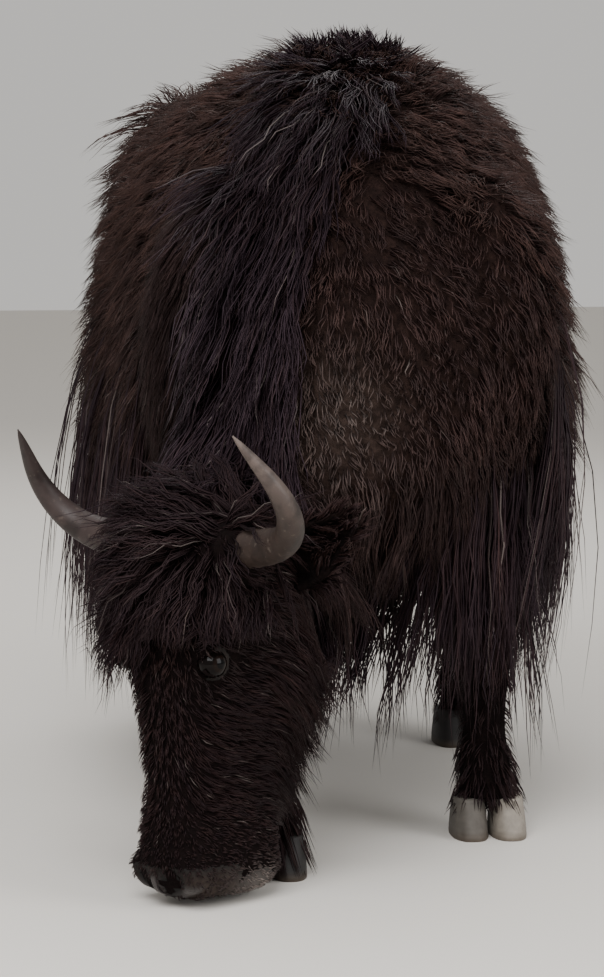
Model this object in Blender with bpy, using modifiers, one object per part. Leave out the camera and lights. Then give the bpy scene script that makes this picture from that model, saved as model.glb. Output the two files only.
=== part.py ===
"""A life-size still model of a domestic yak that stands and grazes, with its head turned to its right.

Metres, +Z up. The yak faces -Y and its left side is +X. The build works in a frame whose origin is the
floor under the top of the hump, and at the end it moves every piece so that the origin is the middle of
the model's footprint box, on the floor.
"""

import math
import random
from collections import namedtuple

import bmesh
import bpy
from mathutils import Matrix, Vector
from mathutils.bvhtree import BVHTree

SEED = 11
GAP = 0.0004  # clear space kept between pieces that meet
SEAM = 0.001  # clear space between the cut faces of the trunk, neck and head
MOST_REACH = 4.0  # how far a sharp tip may move out, in gaps
UP = Vector((0.0, 0.0, 1.0))
DOWN = -UP

# Colours, roughness and metallic value of each finish
FINISHES = {
    "wool": ((0.045, 0.033, 0.028), 0.85, 0.0),
    "long_hair": ((0.02, 0.018, 0.02), 0.7, 0.0),
    "horn": ((0.2, 0.165, 0.14), 0.5, 0.0),
    "claw": ((0.3, 0.27, 0.23), 0.6, 0.0),
    "eye": ((0.012, 0.009, 0.008), 0.1, 0.0),
}

# Trunk of the body: how far back, height of the back, height of the belly, half width, height of the
# widest place, and how square the section is above and below it. These are the outside of the short coat.
TRUNK = (
    (-0.44, 0.780, 0.530, 0.070, 0.66, 2.0, 2.0),
    (-0.38, 0.880, 0.450, 0.160, 0.65, 2.1, 2.1),
    (-0.26, 1.000, 0.395, 0.240, 0.65, 2.2, 2.1),
    (-0.12, 1.085, 0.370, 0.285, 0.65, 2.2, 2.1),
    (0.02, 1.130, 0.360, 0.312, 0.66, 2.2, 2.1),
    (0.18, 1.115, 0.350, 0.338, 0.66, 2.5, 2.2),
    (0.36, 1.080, 0.345, 0.355, 0.65, 2.9, 2.2),
    (0.52, 1.066, 0.360, 0.355, 0.65, 3.3, 2.2),
    (0.66, 1.064, 0.400, 0.335, 0.68, 3.8, 2.3),
    (0.80, 1.030, 0.460, 0.290, 0.72, 3.2, 2.3),
    (0.94, 0.945, 0.540, 0.215, 0.74, 2.4, 2.2),
    (1.02, 0.860, 0.630, 0.120, 0.75, 2.0, 2.0),
)
TRUNK_SWAY = 0.045  # the spine bears to the animal's left by this much for each metre back

# Crest of the neck from inside the hump to the poll, with the half width, the depth above and the depth
# below the middle of the neck at each place.
NECK = (
    ((0.0, 0.02, 1.03), 0.20, 0.20, 0.30),
    ((-0.045, -0.13, 0.925), 0.190, 0.19, 0.32),
    ((-0.125, -0.275, 0.765), 0.165, 0.17, 0.28),
    ((-0.190, -0.395, 0.620), 0.145, 0.15, 0.235),
    ((-0.225, -0.460, 0.530), 0.130, 0.135, 0.20),
)

# The head has its own axes: out to the animal's left, forward out of the face, and along the face to the
# muzzle, from the middle of the forehead between the horns.
HEAD_PLACE = Vector((-0.3135, -0.558, 0.4745))
HEAD_TURN = math.radians(55.0)
HEAD_PITCH = math.radians(-0.5)
HEAD_ROLL = math.radians(3.0)
# Along the face: front of the face, back of the head or jaw, half width, squareness
SKULL = (
    (-0.075, -0.055, -0.130, 0.050, 2.0),
    (-0.045, -0.010, -0.165, 0.092, 2.2),
    (0.00, 0.016, -0.195, 0.110, 2.4),
    (0.06, 0.028, -0.220, 0.112, 2.5),
    (0.12, 0.029, -0.240, 0.106, 2.4),
    (0.18, 0.025, -0.246, 0.093, 2.3),
    (0.25, 0.020, -0.228, 0.075, 2.3),
    (0.32, 0.018, -0.198, 0.064, 2.3),
    (0.38, 0.020, -0.180, 0.062, 2.4),
    (0.425, 0.022, -0.175, 0.065, 2.6),
    (0.454, 0.012, -0.166, 0.056, 2.6),
    (0.467, -0.008, -0.146, 0.036, 2.4),
)
EYE_PLACE = (0.0845, -0.021, 0.150)
EYE_RADIUS = 0.0200

HORN_ROOT = (0.080, -0.060, 0.006)
HORN_LENGTH = 0.315
HORN_RADIUS = 0.0275
HORN_START = math.radians(6.0)
HORN_TURN = math.radians(102.0)
HORN_LEAN = math.radians(35.0)

EAR_ROOT = (0.098, -0.150, 0.035)
EAR_LENGTH = 0.135
EAR_WIDTH = 0.072

# Where each foot stands, and how far its joints are from straight above it: (side, back)
FEET = {
    "fore_left": (0.190, -0.130),
    "fore_right": (-0.151, -0.366),
    "hind_left": (0.270, 0.620),
    "hind_right": (-0.155, 0.880),
}
CORONET_HEIGHT = 0.052
FETLOCK_HEIGHT = 0.105

TAIL_ROOT = Vector((0.044, 0.985, 0.90))
TAIL_LENGTH = 0.44  # of the dock, without the hair below its end


def vec(*numbers):
    return Vector(numbers)


def smoothstep(share):
    share = min(1.0, max(0.0, share))
    return share * share * (3.0 - 2.0 * share)


def spaced(low, high, count):
    """Evenly spaced values from low to high."""
    if count == 1:
        return [(low + high) / 2.0]
    return [low + (high - low) * i / (count - 1) for i in range(count)]


def resampled(rows, steps):
    """Rows of numbers joined by a smooth curve, with steps stretches between each pair."""
    out = []
    last = len(rows) - 1
    for i in range(last):
        before, first, second, after = (rows[min(last, max(0, i + k))] for k in (-1, 0, 1, 2))
        for j in range(steps):
            t = j / steps
            out.append([
                0.5 * (2 * b + (c - a) * t + (2 * a - 5 * b + 4 * c - d) * t ** 2
                       + (3 * b - a - 3 * c + d) * t ** 3)
                for a, b, c, d in zip(before, first, second, after)
            ])
    out.append(list(rows[-1]))
    return out


def head_axes():
    """Out to the animal's left, forward out of the face, and along the face to the muzzle."""
    out = vec(math.cos(HEAD_TURN), -math.sin(HEAD_TURN), 0.0)
    forward = vec(-math.sin(HEAD_TURN), -math.cos(HEAD_TURN), 0.0)
    along = DOWN.copy()
    pitch = Matrix.Rotation(HEAD_PITCH, 3, out)
    roll = Matrix.Rotation(HEAD_ROLL, 3, forward)
    turn = roll @ pitch
    return turn @ out, turn @ forward, turn @ along


HEAD_OUT, HEAD_FORWARD, HEAD_ALONG = head_axes()


def head_point(out, forward, along):
    return HEAD_PLACE + HEAD_OUT * out + HEAD_FORWARD * forward + HEAD_ALONG * along


def head_direction(out, forward, along):
    return (HEAD_OUT * out + HEAD_FORWARD * forward + HEAD_ALONG * along).normalized()


# Making and joining meshes


def finish(name):
    """The material of that finish, made once."""
    found = bpy.data.materials.get(name)
    if found:
        return found
    colour, roughness, metallic = FINISHES[name]
    made = bpy.data.materials.new(name)
    made.use_nodes = True
    shader = made.node_tree.nodes["Principled BSDF"]
    shader.inputs["Base Color"].default_value = (*colour, 1.0)
    shader.inputs["Roughness"].default_value = roughness
    shader.inputs["Metallic"].default_value = metallic
    made.diffuse_color = (*colour, 1.0)
    return made


def collection_of(name, parent=None):
    made = bpy.data.collections.new(name)
    (parent or bpy.context.scene.collection).children.link(made)
    return made


def add_object(name, bm, collection):
    """An object from a finished bmesh, in triangles, with its faces turned outwards."""
    bmesh.ops.recalc_face_normals(bm, faces=bm.faces[:])
    bmesh.ops.triangulate(bm, faces=bm.faces[:])
    mesh = bpy.data.meshes.new(name)
    bm.to_mesh(mesh)
    bm.free()
    obj = bpy.data.objects.new(name, mesh)
    collection.objects.link(obj)
    return obj


def ring_points(section, sides):
    """Points round one section: centre, side, up, half width, rise, drop and squareness."""
    centre, side, up, half, rise, drop, square = section
    points = []
    for i in range(sides):
        angle = 2.0 * math.pi * i / sides
        c, s = math.cos(angle), math.sin(angle)
        power = square if isinstance(square, float) else square[0 if s > 0 else 1]
        across = math.copysign(abs(c) ** (2.0 / power), c) * half
        height = math.copysign(abs(s) ** (2.0 / power), s) * (rise if s > 0 else drop)
        points.append(centre + side * across + up * height)
    return points


def skin_into(bm, outlines, tip=None):
    """Adds a closed skin through rings of points to a bmesh, ending in a point where tip is given."""
    sides = len(outlines[0])
    rings = [[bm.verts.new(p) for p in outline] for outline in outlines]
    for first, second in zip(rings, rings[1:]):
        for i in range(sides):
            j = (i + 1) % sides
            bm.faces.new((first[i], first[j], second[j], second[i]))
    bm.faces.new(list(reversed(rings[0])))
    if tip is None:
        bm.faces.new(rings[-1])
        return
    end = bm.verts.new(tip)
    for i in range(sides):
        bm.faces.new((rings[-1][i], rings[-1][(i + 1) % sides], end))


def loft(name, sections, sides, collection, tip=None):
    bm = bmesh.new()
    skin_into(bm, [ring_points(section, sides) for section in sections], tip)
    return add_object(name, bm, collection)


def ellipsoid(name, centre, axes, radii, collection, segments=20, rings=12):
    """A ball stretched along three axes."""
    bm = bmesh.new()
    bmesh.ops.create_uvsphere(bm, u_segments=segments, v_segments=rings, radius=1.0)
    turn = Matrix([[a[i] * r for a, r in zip(axes, radii)] for i in range(3)]).to_4x4()
    bmesh.ops.transform(bm, matrix=Matrix.Translation(centre) @ turn, verts=bm.verts[:])
    return add_object(name, bm, collection)


def settle(obj):
    """Applies an object's modifiers to its mesh."""
    graph = bpy.context.evaluated_depsgraph_get()
    graph.update()
    mesh = bpy.data.meshes.new_from_object(obj.evaluated_get(graph))
    old = obj.data
    obj.modifiers.clear()
    obj.data = mesh
    if old.users == 0:
        bpy.data.meshes.remove(old)
    return obj


def remove(objects):
    for obj in objects:
        bpy.data.objects.remove(obj)


def is_closed(bm):
    return all(len(edge.link_faces) == 2 for edge in bm.edges)


def mesh_is_closed(mesh):
    bm = bmesh.new()
    bm.from_mesh(mesh)
    closed = is_closed(bm)
    bm.free()
    return closed


def merged(mesh, reach, method):
    """A bmesh of triangles from a mesh, with points closer than the reach made one."""
    bm = bmesh.new()
    bm.from_mesh(mesh)
    if reach:
        bmesh.ops.remove_doubles(bm, verts=bm.verts[:], dist=reach)
        bmesh.ops.dissolve_degenerate(bm, edges=bm.edges[:], dist=reach)
    on_an_edge = [v for v in bm.verts if len(v.link_edges) == 2]
    bmesh.ops.dissolve_verts(bm, verts=on_an_edge)
    bmesh.ops.triangulate(bm, faces=bm.faces[:], ngon_method=method)
    return bm


def clean_up(obj):
    """Merges points that a Boolean left almost touching, and keeps only the largest closed surface."""
    ways = [(reach, method) for reach in (0.00002, 0.000005, 0.0) for method in ("BEAUTY", "EAR_CLIP")]
    for reach, method in ways:
        bm = merged(obj.data, reach, method)
        if is_closed(bm) or (reach, method) == ways[-1]:
            break
        bm.free()
    unseen = set(bm.faces)
    shells = []
    while unseen:
        stack = [unseen.pop()]
        shell = []
        while stack:
            face = stack.pop()
            shell.append(face)
            for edge in face.edges:
                for near in edge.link_faces:
                    if near in unseen:
                        unseen.remove(near)
                        stack.append(near)
        shells.append(shell)
    shells.sort(key=lambda shell: -sum(f.calc_area() for f in shell))
    for shell in shells[1:]:
        bmesh.ops.delete(bm, geom=shell, context="FACES")
    loose = [v for v in bm.verts if not v.link_faces]
    bmesh.ops.delete(bm, geom=loose, context="VERTS")
    bm.to_mesh(obj.data)
    bm.free()
    return obj


def boolean(obj, operation, others, solver="MANIFOLD"):
    """Joins or cuts an object with others, which are then removed."""
    group = bpy.data.collections.new("working")
    for other in others:
        group.objects.link(other)
    modifier = obj.modifiers.new(operation.lower(), "BOOLEAN")
    modifier.operation = operation
    modifier.operand_type = "COLLECTION"
    modifier.collection = group
    modifier.solver = solver
    settle(obj)
    remove(others)
    bpy.data.collections.remove(group)
    return clean_up(obj)


def remesh(obj, voxel, smooth, faces):
    """One even skin over pieces that overlap, smoothed, with about the number of faces asked for."""
    modifier = obj.modifiers.new("remesh", "REMESH")
    modifier.mode = "VOXEL"
    modifier.voxel_size = voxel
    modifier = obj.modifiers.new("smooth", "SMOOTH")
    modifier.factor = 0.5
    modifier.iterations = smooth
    settle(obj)
    fine = obj.data.copy()
    fine.calc_loop_triangles()
    for more in (1.0, 1.03, 1.06, 1.1):
        obj.data = fine.copy()
        modifier = obj.modifiers.new("decimate", "DECIMATE")
        modifier.ratio = min(1.0, more * faces / len(fine.loop_triangles))
        modifier.use_collapse_triangulate = True
        clean_up(settle(obj))
        if mesh_is_closed(obj.data):
            break
    bpy.data.meshes.remove(fine)
    return obj


def joined(name, objects, collection):
    """Several meshes as one object, still overlapping."""
    bm = bmesh.new()
    for obj in objects:
        bm.from_mesh(obj.data)
    remove(objects)
    mesh = bpy.data.meshes.new(name)
    bm.to_mesh(mesh)
    bm.free()
    made = bpy.data.objects.new(name, mesh)
    collection.objects.link(made)
    return made


def outward_move(vert, by):
    """How far to move a corner so that each of its faces comes to lie further out by that much."""
    normals = [face.normal for face in vert.link_faces if face.normal.length > 0.5]
    move = vert.normal * by
    for _ in range(20):
        if all(normal.dot(move) > 0.97 * by for normal in normals):
            break
        for normal in normals:
            move = move + normal * max(0.0, by - normal.dot(move))
    if move.length > MOST_REACH * by:
        move = move.normalized() * (MOST_REACH * by)
    return move


def grown_copy(obj, by, collection):
    """A copy whose faces all lie a small distance further out, to cut the room that a neighbour needs."""
    bm = bmesh.new()
    bm.from_mesh(obj.data)
    bm.normal_update()
    moves = [outward_move(vert, by) for vert in bm.verts]
    for vert, move in zip(bm.verts, moves):
        vert.co += move
    mesh = bpy.data.meshes.new(obj.name + "_room")
    bm.to_mesh(mesh)
    bm.free()
    made = bpy.data.objects.new(mesh.name, mesh)
    collection.objects.link(made)
    return made


def boxes_meet(first, second, margin=0.002):
    def box(obj):
        points = [obj.matrix_world @ v.co for v in obj.data.vertices]
        return [(min(p[i] for p in points), max(p[i] for p in points)) for i in range(3)]

    pairs = zip(box(first), box(second))
    return all(a[0] < b[1] + margin and b[0] < a[1] + margin for a, b in pairs)


def make_room(obj, neighbours, collection):
    """Cuts an object clear of its neighbours, leaving the gap that touching pieces keep."""
    for neighbour in neighbours:
        if boxes_meet(obj, neighbour):
            boolean(obj, "DIFFERENCE", [grown_copy(neighbour, GAP, collection)])
    return obj


# Locks of long hair


def lock_path(surface, lock):
    """The line of a lock, kept off the surface, and the way that its broad side faces at each point."""
    points = [lock.root - lock.normal * lock.thick - lock.lie * lock.thick]
    facings = [lock.normal]
    direction = (lock.lie + lock.normal * 0.3).normalized()
    here = lock.root.copy()
    for i in range(lock.steps):
        share = (i + 1) / lock.steps
        direction = (direction * (1.0 - lock.droop) + (lock.lie * 0.35 + DOWN) * lock.droop).normalized()
        here = here + direction * (lock.length / lock.steps)
        near, facing, _, _ = surface.find_nearest(here)
        outside = (here - near).dot(facing)
        wanted = lock.stand * (0.4 + 0.6 * share)
        if outside < wanted:
            here = here + facing * (wanted - outside)
        else:
            here = here + facing * ((wanted - outside) * lock.hug)
        points.append(here.copy())
        facings.append((lock.normal * 0.5 + facing).normalized())
    return points, facings


def lock_into(bm, points, facings, width, thick):
    """Adds a flat, tapered lock along a line to a bmesh: three-sided, with its ridge outwards."""
    outlines = []
    last = len(points) - 1
    for i in range(last):
        share = i / last
        ahead = (points[i + 1] - points[max(0, i - 1)]).normalized()
        side = ahead.cross(facings[i])
        side = side.normalized() if side.length > 0.2 else ahead.cross(facings[0]).normalized()
        ridge = side.cross(ahead) * (thick * (1.0 - 0.45 * share))
        half = side * (0.5 * width * (0.8 + 0.2 * math.sin(math.pi * share)) * (1.0 - 0.4 * share ** 3))
        base = points[i] - ridge * 0.4
        outlines.append((base - half, base + half, base + ridge))
    skin_into(bm, outlines, points[-1])


def grow_locks(core, name, seeds, surface, collection):
    """Joins locks to a core. They are made a little thicker where edges would just touch."""
    bare = core.data.copy()
    for attempt in range(6):
        locks = []
        for i, lock in enumerate(seeds):
            points, facings = lock_path(surface, lock)
            bm = bmesh.new()
            lock_into(bm, points, facings, lock.width, lock.thick * (1.0 + 0.013 * attempt))
            locks.append(add_object(f"{name}_lock_{i}", bm, collection))
        core.data = bare.copy()
        boolean(core, "UNION", locks)
        if mesh_is_closed(core.data):
            break
    bpy.data.meshes.remove(bare)
    return core


def surface_of(obj):
    bm = bmesh.new()
    bm.from_mesh(obj.data)
    tree = BVHTree.FromBMesh(bm)
    bm.free()
    return tree


def on_surface(surface, start, direction):
    """Where a ray from start first meets a surface, and which way the surface faces there."""
    hit, normal, _, _ = surface.ray_cast(start, direction.normalized())
    if hit is None:
        hit, normal, _, _ = surface.find_nearest(start)
    return hit, normal


# The flesh under the coat


def trunk_sections(steps):
    sections = []
    for back, top, bottom, half, wide, above, below in resampled(TRUNK, steps):
        centre = vec(TRUNK_SWAY * back, back, wide)
        sections.append((centre, vec(1, 0, 0), UP, half, top - wide, wide - bottom, (above, below)))
    return sections


def neck_sections(steps):
    rows = [(*crest, half, above, below) for crest, half, above, below in NECK]
    rows = resampled(rows, steps)
    sections = []
    for i, (x, y, z, half, above, below) in enumerate(rows):
        first, second = rows[max(0, i - 1)], rows[min(len(rows) - 1, i + 1)]
        ahead = (Vector(second[:3]) - Vector(first[:3])).normalized()
        crestward = (UP - ahead * ahead.dot(UP)).normalized()
        side = ahead.cross(crestward).normalized()
        centre = vec(x, y, z) - crestward * above
        sections.append((centre, side, crestward, half, above, below, 2.1))
    return sections


def skull_sections(steps):
    sections = []
    for along, front, rear, half, power in resampled(SKULL, steps):
        middle = front + (rear - front) * 0.42
        centre = head_point(0.0, middle, along)
        sections.append((centre, HEAD_OUT, HEAD_FORWARD, half, front - middle, middle - rear, power))
    return sections


def mass(name, places, collection, sides=14):
    """A rounded bulk through (place, half width, half depth) rows, stacked mostly up and down."""
    sections = []
    rows = resampled([(*place, wide, deep) for place, wide, deep in places], 3)
    for x, y, z, wide, deep in rows:
        sections.append((vec(x, y, z), vec(1, 0, 0), vec(0, 1, 0), wide, deep, deep, 2.1))
    return loft(name, sections, sides, collection)


def trunk_form(collection):
    """The trunk with the shoulders, thighs and hip bones that stand out of it."""
    forward = (vec(1, 0, 0), vec(0, 0.94, 0.34), vec(0, -0.34, 0.94))
    backward = (vec(1, 0, 0), vec(0, 0.94, -0.34), vec(0, 0.34, 0.94))
    level = (vec(1, 0, 0), vec(0, 1, 0), UP)
    bulges = (
        # how far back, out to the side, height, axes, half sizes
        (-0.16, 0.170, 0.70, forward, (0.130, 0.17, 0.27)),
        (0.78, 0.170, 0.70, backward, (0.140, 0.19, 0.26)),
        (0.62, 0.222, 0.975, level, (0.080, 0.15, 0.090)),
    )
    pieces = [loft("trunk", trunk_sections(3), 32, collection)]
    for back, out, height, axes, sizes in bulges:
        for side in (1.0, -1.0):
            place = vec(TRUNK_SWAY * back + side * out, back, height)
            pieces.append(ellipsoid("bulge", place, axes, sizes, collection))
    return pieces


def leg_rows(name):
    """Places, half widths and half depths down one leg, from inside the body to the coronet."""
    x, y = FEET[name]
    side = math.copysign(1.0, x)
    if name.startswith("fore"):
        elbow_y = -0.10 + 0.25 * (y + 0.13)
        knee_y = y + 0.3 * (elbow_y - y) - 0.012
        return (
            ((side * 0.165, elbow_y, 0.600), 0.074, 0.104),
            ((side * 0.170, elbow_y - 0.01, 0.500), 0.070, 0.092),
            ((0.5 * (x + side * 0.172), 0.5 * (elbow_y + knee_y) - 0.01, 0.395), 0.060, 0.070),
            ((x, knee_y, 0.300), 0.050, 0.056),
            ((x, knee_y + 0.006, 0.262), 0.044, 0.049),
            ((x, 0.5 * (knee_y + y) + 0.02, 0.180), 0.037, 0.042),
            ((x, y + 0.022, 0.135), 0.038, 0.043),
            ((x, y + 0.016, FETLOCK_HEIGHT), 0.044, 0.048),
            ((x, y + 0.002, 0.078), 0.044, 0.046),
            ((x, y - 0.012, CORONET_HEIGHT - 0.006), 0.049, 0.053),
        )
    hip = TRUNK_SWAY * 0.75 + side * 0.165
    hock_y = y + 0.085
    stifle_y = 0.80 + 0.4 * (y - 0.80) - 0.07
    return (
        ((hip, stifle_y + 0.01, 0.640), 0.085, 0.140),
        ((0.7 * hip + 0.3 * x, stifle_y + 0.02, 0.540), 0.076, 0.120),
        ((0.4 * hip + 0.6 * x, 0.5 * (stifle_y + hock_y), 0.455), 0.060, 0.088),
        ((x, hock_y - 0.012, 0.385), 0.047, 0.064),
        ((x, hock_y - 0.008, 0.340), 0.043, 0.056),
        ((x, hock_y - 0.030, 0.250), 0.037, 0.044),
        ((x, y + 0.035, 0.150), 0.037, 0.042),
        ((x, y + 0.020, FETLOCK_HEIGHT), 0.043, 0.047),
        ((x, y + 0.004, 0.078), 0.043, 0.045),
        ((x, y - 0.012, CORONET_HEIGHT - 0.006), 0.048, 0.052),
    )


def leg_core(name, collection):
    leg = mass("leg_" + name, leg_rows(name), collection, 14)
    return remesh(leg, 0.010, 2, 200)


# Feet


def claw(name, foot, inward, collection):
    """One claw of a cloven foot, flat underneath, with its front wall leaning back."""
    x, y = FEET[foot]
    half = 0.0262
    middle = x + inward * 0.0278
    levels = (
        # height, length forward, length back, half width
        (0.0, 0.064, 0.044, half),
        (0.010, 0.063, 0.046, half * 1.01),
        (0.034, 0.050, 0.042, half * 0.94),
        (CORONET_HEIGHT + 0.004, 0.036, 0.036, half * 0.84),
    )
    sections = []
    for height, front, rear, wide in levels:
        centre = vec(middle, y - 0.012, height)
        sections.append((centre, vec(1, 0, 0), vec(0, -1, 0), wide, front, rear, 2.5))
    return loft(name, sections, 10, collection)


def dewclaw(name, foot, inward, collection):
    """A small horn behind the fetlock."""
    x, y = FEET[foot]
    root = vec(x + inward * 0.022, y + 0.052, FETLOCK_HEIGHT - 0.004)
    ahead = vec(inward * 0.25, 0.55, -0.80).normalized()
    side = vec(1, 0, 0)
    face = side.cross(ahead).normalized()
    sections = []
    for share, half in ((0.0, 0.0115), (0.5, 0.0105), (1.0, 0.0040)):
        sections.append((root + ahead * (0.034 * share), side, face, half, half * 0.8, half * 0.8, 2.0))
    return loft(name, sections, 6, collection)


# The head and what stands on it


def horn(name, side, collection):
    """Out to the side, then up and forward in one bend, with shallow rings at the root."""
    rise = head_direction(0.0, math.sin(HORN_LEAN), -math.cos(HORN_LEAN))
    outward = head_direction(side, 0.0, 0.0)
    here = head_point(side * HORN_ROOT[0], HORN_ROOT[1], HORN_ROOT[2])
    normal = outward.cross(rise)
    steps = 12
    sections = []
    for i in range(steps):
        share = i / steps
        angle = HORN_START + HORN_TURN * smoothstep((share - 0.20) / 0.66)
        ahead = outward * math.cos(angle) + rise * math.sin(angle)
        radius = HORN_RADIUS * (1.0 - share) ** 0.62 * (1.0 + 0.16 * (1.0 - share))
        radius += 0.0006 * math.sin(share * 60.0) * (share < 0.45)
        across = normal.cross(ahead).normalized()
        sections.append((here.copy(), normal, across, radius, radius * 0.94, radius * 0.94, 2.0))
        here += ahead * (HORN_LENGTH / steps)
    return loft(name, sections, 10, collection, tip=here)


def ear(name, side, collection):
    """A leaf with its hollow turned forward and down: an outer half shell with a real thickness."""
    root = head_point(side * EAR_ROOT[0], EAR_ROOT[1], EAR_ROOT[2])
    ahead = head_direction(side * 0.72, -0.30, -0.58)
    hollow = (HEAD_FORWARD * 0.75 + HEAD_ALONG * 0.55)
    hollow = (hollow - ahead * hollow.dot(ahead)).normalized()
    across = ahead.cross(hollow).normalized()
    rows, columns = 7, 5
    bm = bmesh.new()
    grid = []
    for i in range(rows):
        share = i / (rows - 1)
        half = 0.5 * EAR_WIDTH * (0.42 + 0.58 * math.sin(math.pi * min(1.0, 0.12 + share * 0.95) ** 0.85))
        half *= 1.0 if share < 0.97 else 0.55
        cup = 1.25 - 0.75 * share
        line = []
        for j in range(columns):
            angle = (j / (columns - 1) - 0.5) * 2.0 * cup * 1.35
            radius = half / math.sin(min(cup * 1.35, math.pi / 2))
            place = root + ahead * (EAR_LENGTH * share) + across * (radius * math.sin(angle))
            place -= hollow * (radius * (math.cos(angle) - math.cos(cup * 1.35)))
            line.append(bm.verts.new(place))
        grid.append(line)
    for first, second in zip(grid, grid[1:]):
        for j in range(columns - 1):
            bm.faces.new((first[j], first[j + 1], second[j + 1], second[j]))
    leaf = add_object(name, bm, collection)
    modifier = leaf.modifiers.new("thickness", "SOLIDIFY")
    modifier.thickness = 0.009
    modifier.offset = 0.0
    return clean_up(settle(leaf))


def eye(name, side, collection):
    centre = head_point(side * EYE_PLACE[0], EYE_PLACE[1], EYE_PLACE[2])
    axes = (HEAD_OUT, HEAD_FORWARD, HEAD_ALONG)
    return ellipsoid(name, centre, axes, (EYE_RADIUS,) * 3, collection, 10, 7)


def bead(points, radius, collection, name="bead"):
    """A soft ridge along a line, such as a lid or a lip."""
    curve = bpy.data.curves.new(name, "CURVE")
    curve.dimensions = "3D"
    curve.bevel_depth = radius
    curve.bevel_resolution = 2
    curve.use_fill_caps = True
    spline = curve.splines.new("POLY")
    spline.points.add(len(points) - 1)
    for place, point in zip(points, spline.points):
        point.co = (*place, 1.0)
    holder = bpy.data.objects.new(name, curve)
    collection.objects.link(holder)
    graph = bpy.context.evaluated_depsgraph_get()
    mesh = bpy.data.meshes.new_from_object(holder.evaluated_get(graph))
    bpy.data.objects.remove(holder)
    bm = bmesh.new()
    bm.from_mesh(mesh)
    bpy.data.meshes.remove(mesh)
    bmesh.ops.remove_doubles(bm, verts=bm.verts[:], dist=0.00001)
    return add_object(name, bm, collection)


def lid_line(side, upper):
    """Points along one eyelid's edge, from the front corner of the eye to the back one."""
    centre = head_point(side * EYE_PLACE[0], EYE_PLACE[1], EYE_PLACE[2])
    points = []
    for t in spaced(-1.0, 1.0, 9):
        open_here = math.sqrt(1.0 - t * t)
        along = (-0.0172 if upper else 0.0172) * open_here + 0.002 * t
        depth = 0.001 + 0.0115 * open_here
        points.append(centre + HEAD_OUT * (side * depth) + HEAD_FORWARD * (-t * 0.0250) + HEAD_ALONG * along)
    return points


def head_form(collection):
    """The skull with its cheeks, brows, lids, nostrils' rims, lips and chin, still overlapping."""
    axes = (HEAD_OUT, HEAD_FORWARD, HEAD_ALONG)
    pieces = [loft("skull", skull_sections(3), 28, collection)]
    for side in (1.0, -1.0):
        brow = head_point(side * 0.070, -0.030, 0.126)
        pieces.append(ellipsoid("orbit", brow, axes, (0.028, 0.038, 0.034), collection))
        cheek = head_point(side * 0.064, -0.150, 0.160)
        pieces.append(ellipsoid("cheek", cheek, axes, (0.034, 0.075, 0.085), collection))
        wing = head_point(side * 0.040, -0.016, 0.427)
        pieces.append(ellipsoid("nostril_wing", wing, axes, (0.028, 0.036, 0.032), collection))
        pieces.append(bead(lid_line(side, True), 0.0052, collection, "upper_lid"))
        pieces.append(bead(lid_line(side, False), 0.0046, collection, "lower_lid"))
        boss = head_point(side * 0.088, -0.060, 0.004)
        pieces.append(ellipsoid("horn_boss", boss, axes, (0.030, 0.036, 0.036), collection))
    pad = head_point(0.0, 0.005, 0.434)
    pieces.append(ellipsoid("nose_pad", pad, axes, (0.046, 0.018, 0.026), collection))
    upper_lip = head_point(0.0, -0.048, 0.448)
    pieces.append(ellipsoid("upper_lip", upper_lip, axes, (0.054, 0.042, 0.020), collection))
    chin = head_point(0.0, -0.146, 0.430)
    pieces.append(ellipsoid("chin", chin, axes, (0.042, 0.040, 0.032), collection))
    return pieces


def mouth_cutter(collection):
    """A thin curved blade that opens the line of the mouth on both sides."""
    sections = []
    for t in spaced(-1.0, 1.0, 13):
        out = 0.075 * math.sin(t * 1.35) / math.sin(1.35)
        bow = 1.0 - abs(t) ** 1.6
        along = 0.378 + 0.088 * bow
        forward = -0.118 + 0.010 * bow
        centre = head_point(out, forward, along)
        sections.append((centre, HEAD_ALONG, HEAD_FORWARD, 0.014, 0.0016, 0.0016, 2.0))
    return loft("mouth_cutter", sections, 6, collection)


def nostril_cutter(side, collection):
    centre = head_point(side * 0.040, 0.006, 0.440)
    long_way = head_direction(side * 0.55, -0.72, 0.20)
    deep_way = head_direction(-side * 0.30, -0.45, -0.84)
    third = long_way.cross(deep_way).normalized()
    deep_way = third.cross(long_way).normalized()
    axes = (long_way, deep_way, third)
    return ellipsoid("nostril_cutter", centre, axes, (0.021, 0.022, 0.0105), collection, 12, 8)


# Where locks grow


Lock = namedtuple("Lock", "root normal lie length width thick droop steps stand hug")
HIGH = 1.4  # above the back: rays that look for the skin start there
HUMP_TOP = vec(0.0, 0.02, HIGH)


def seed(root, normal, lie, length, width, thick, droop, steps=3, stand=0.012, hug=0.0):
    """A lock's root and shape: it hangs freely where hug is 0 and follows the body where it is 1."""
    return Lock(root, normal, lie.normalized(), length, width, thick, droop, steps, stand, hug)


def skirt_seeds(surface, rng):
    """Tiers of long locks down both flanks, from the shoulder round the thigh, laid like shingles."""
    seeds = []
    tiers = (
        # height of the roots, first and last place along the body, count, length, width, how far they stand out
        (0.66, -0.12, 0.90, 8, 0.38, 0.185, 0.020),
        (0.50, -0.05, 0.96, 8, 0.31, 0.175, 0.034),
    )
    for side in (1.0, -1.0):
        for height, first, last, count, length, width, stand in tiers:
            for back in spaced(first, last, count):
                back += rng.uniform(-0.010, 0.010)
                start = vec(side * 0.9, back, height + rng.uniform(-0.02, 0.02))
                root, normal = on_surface(surface, start, vec(-side, 0.0, 0.0))
                lie = vec(side * 0.06, 0.08 + rng.uniform(-0.06, 0.06), -1.0)
                long = length * rng.uniform(0.90, 1.12)
                wide = width * rng.uniform(0.92, 1.08)
                seeds.append(seed(root, normal, lie, long, wide, thick=0.026, droop=0.45, stand=stand))
    return seeds


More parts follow.
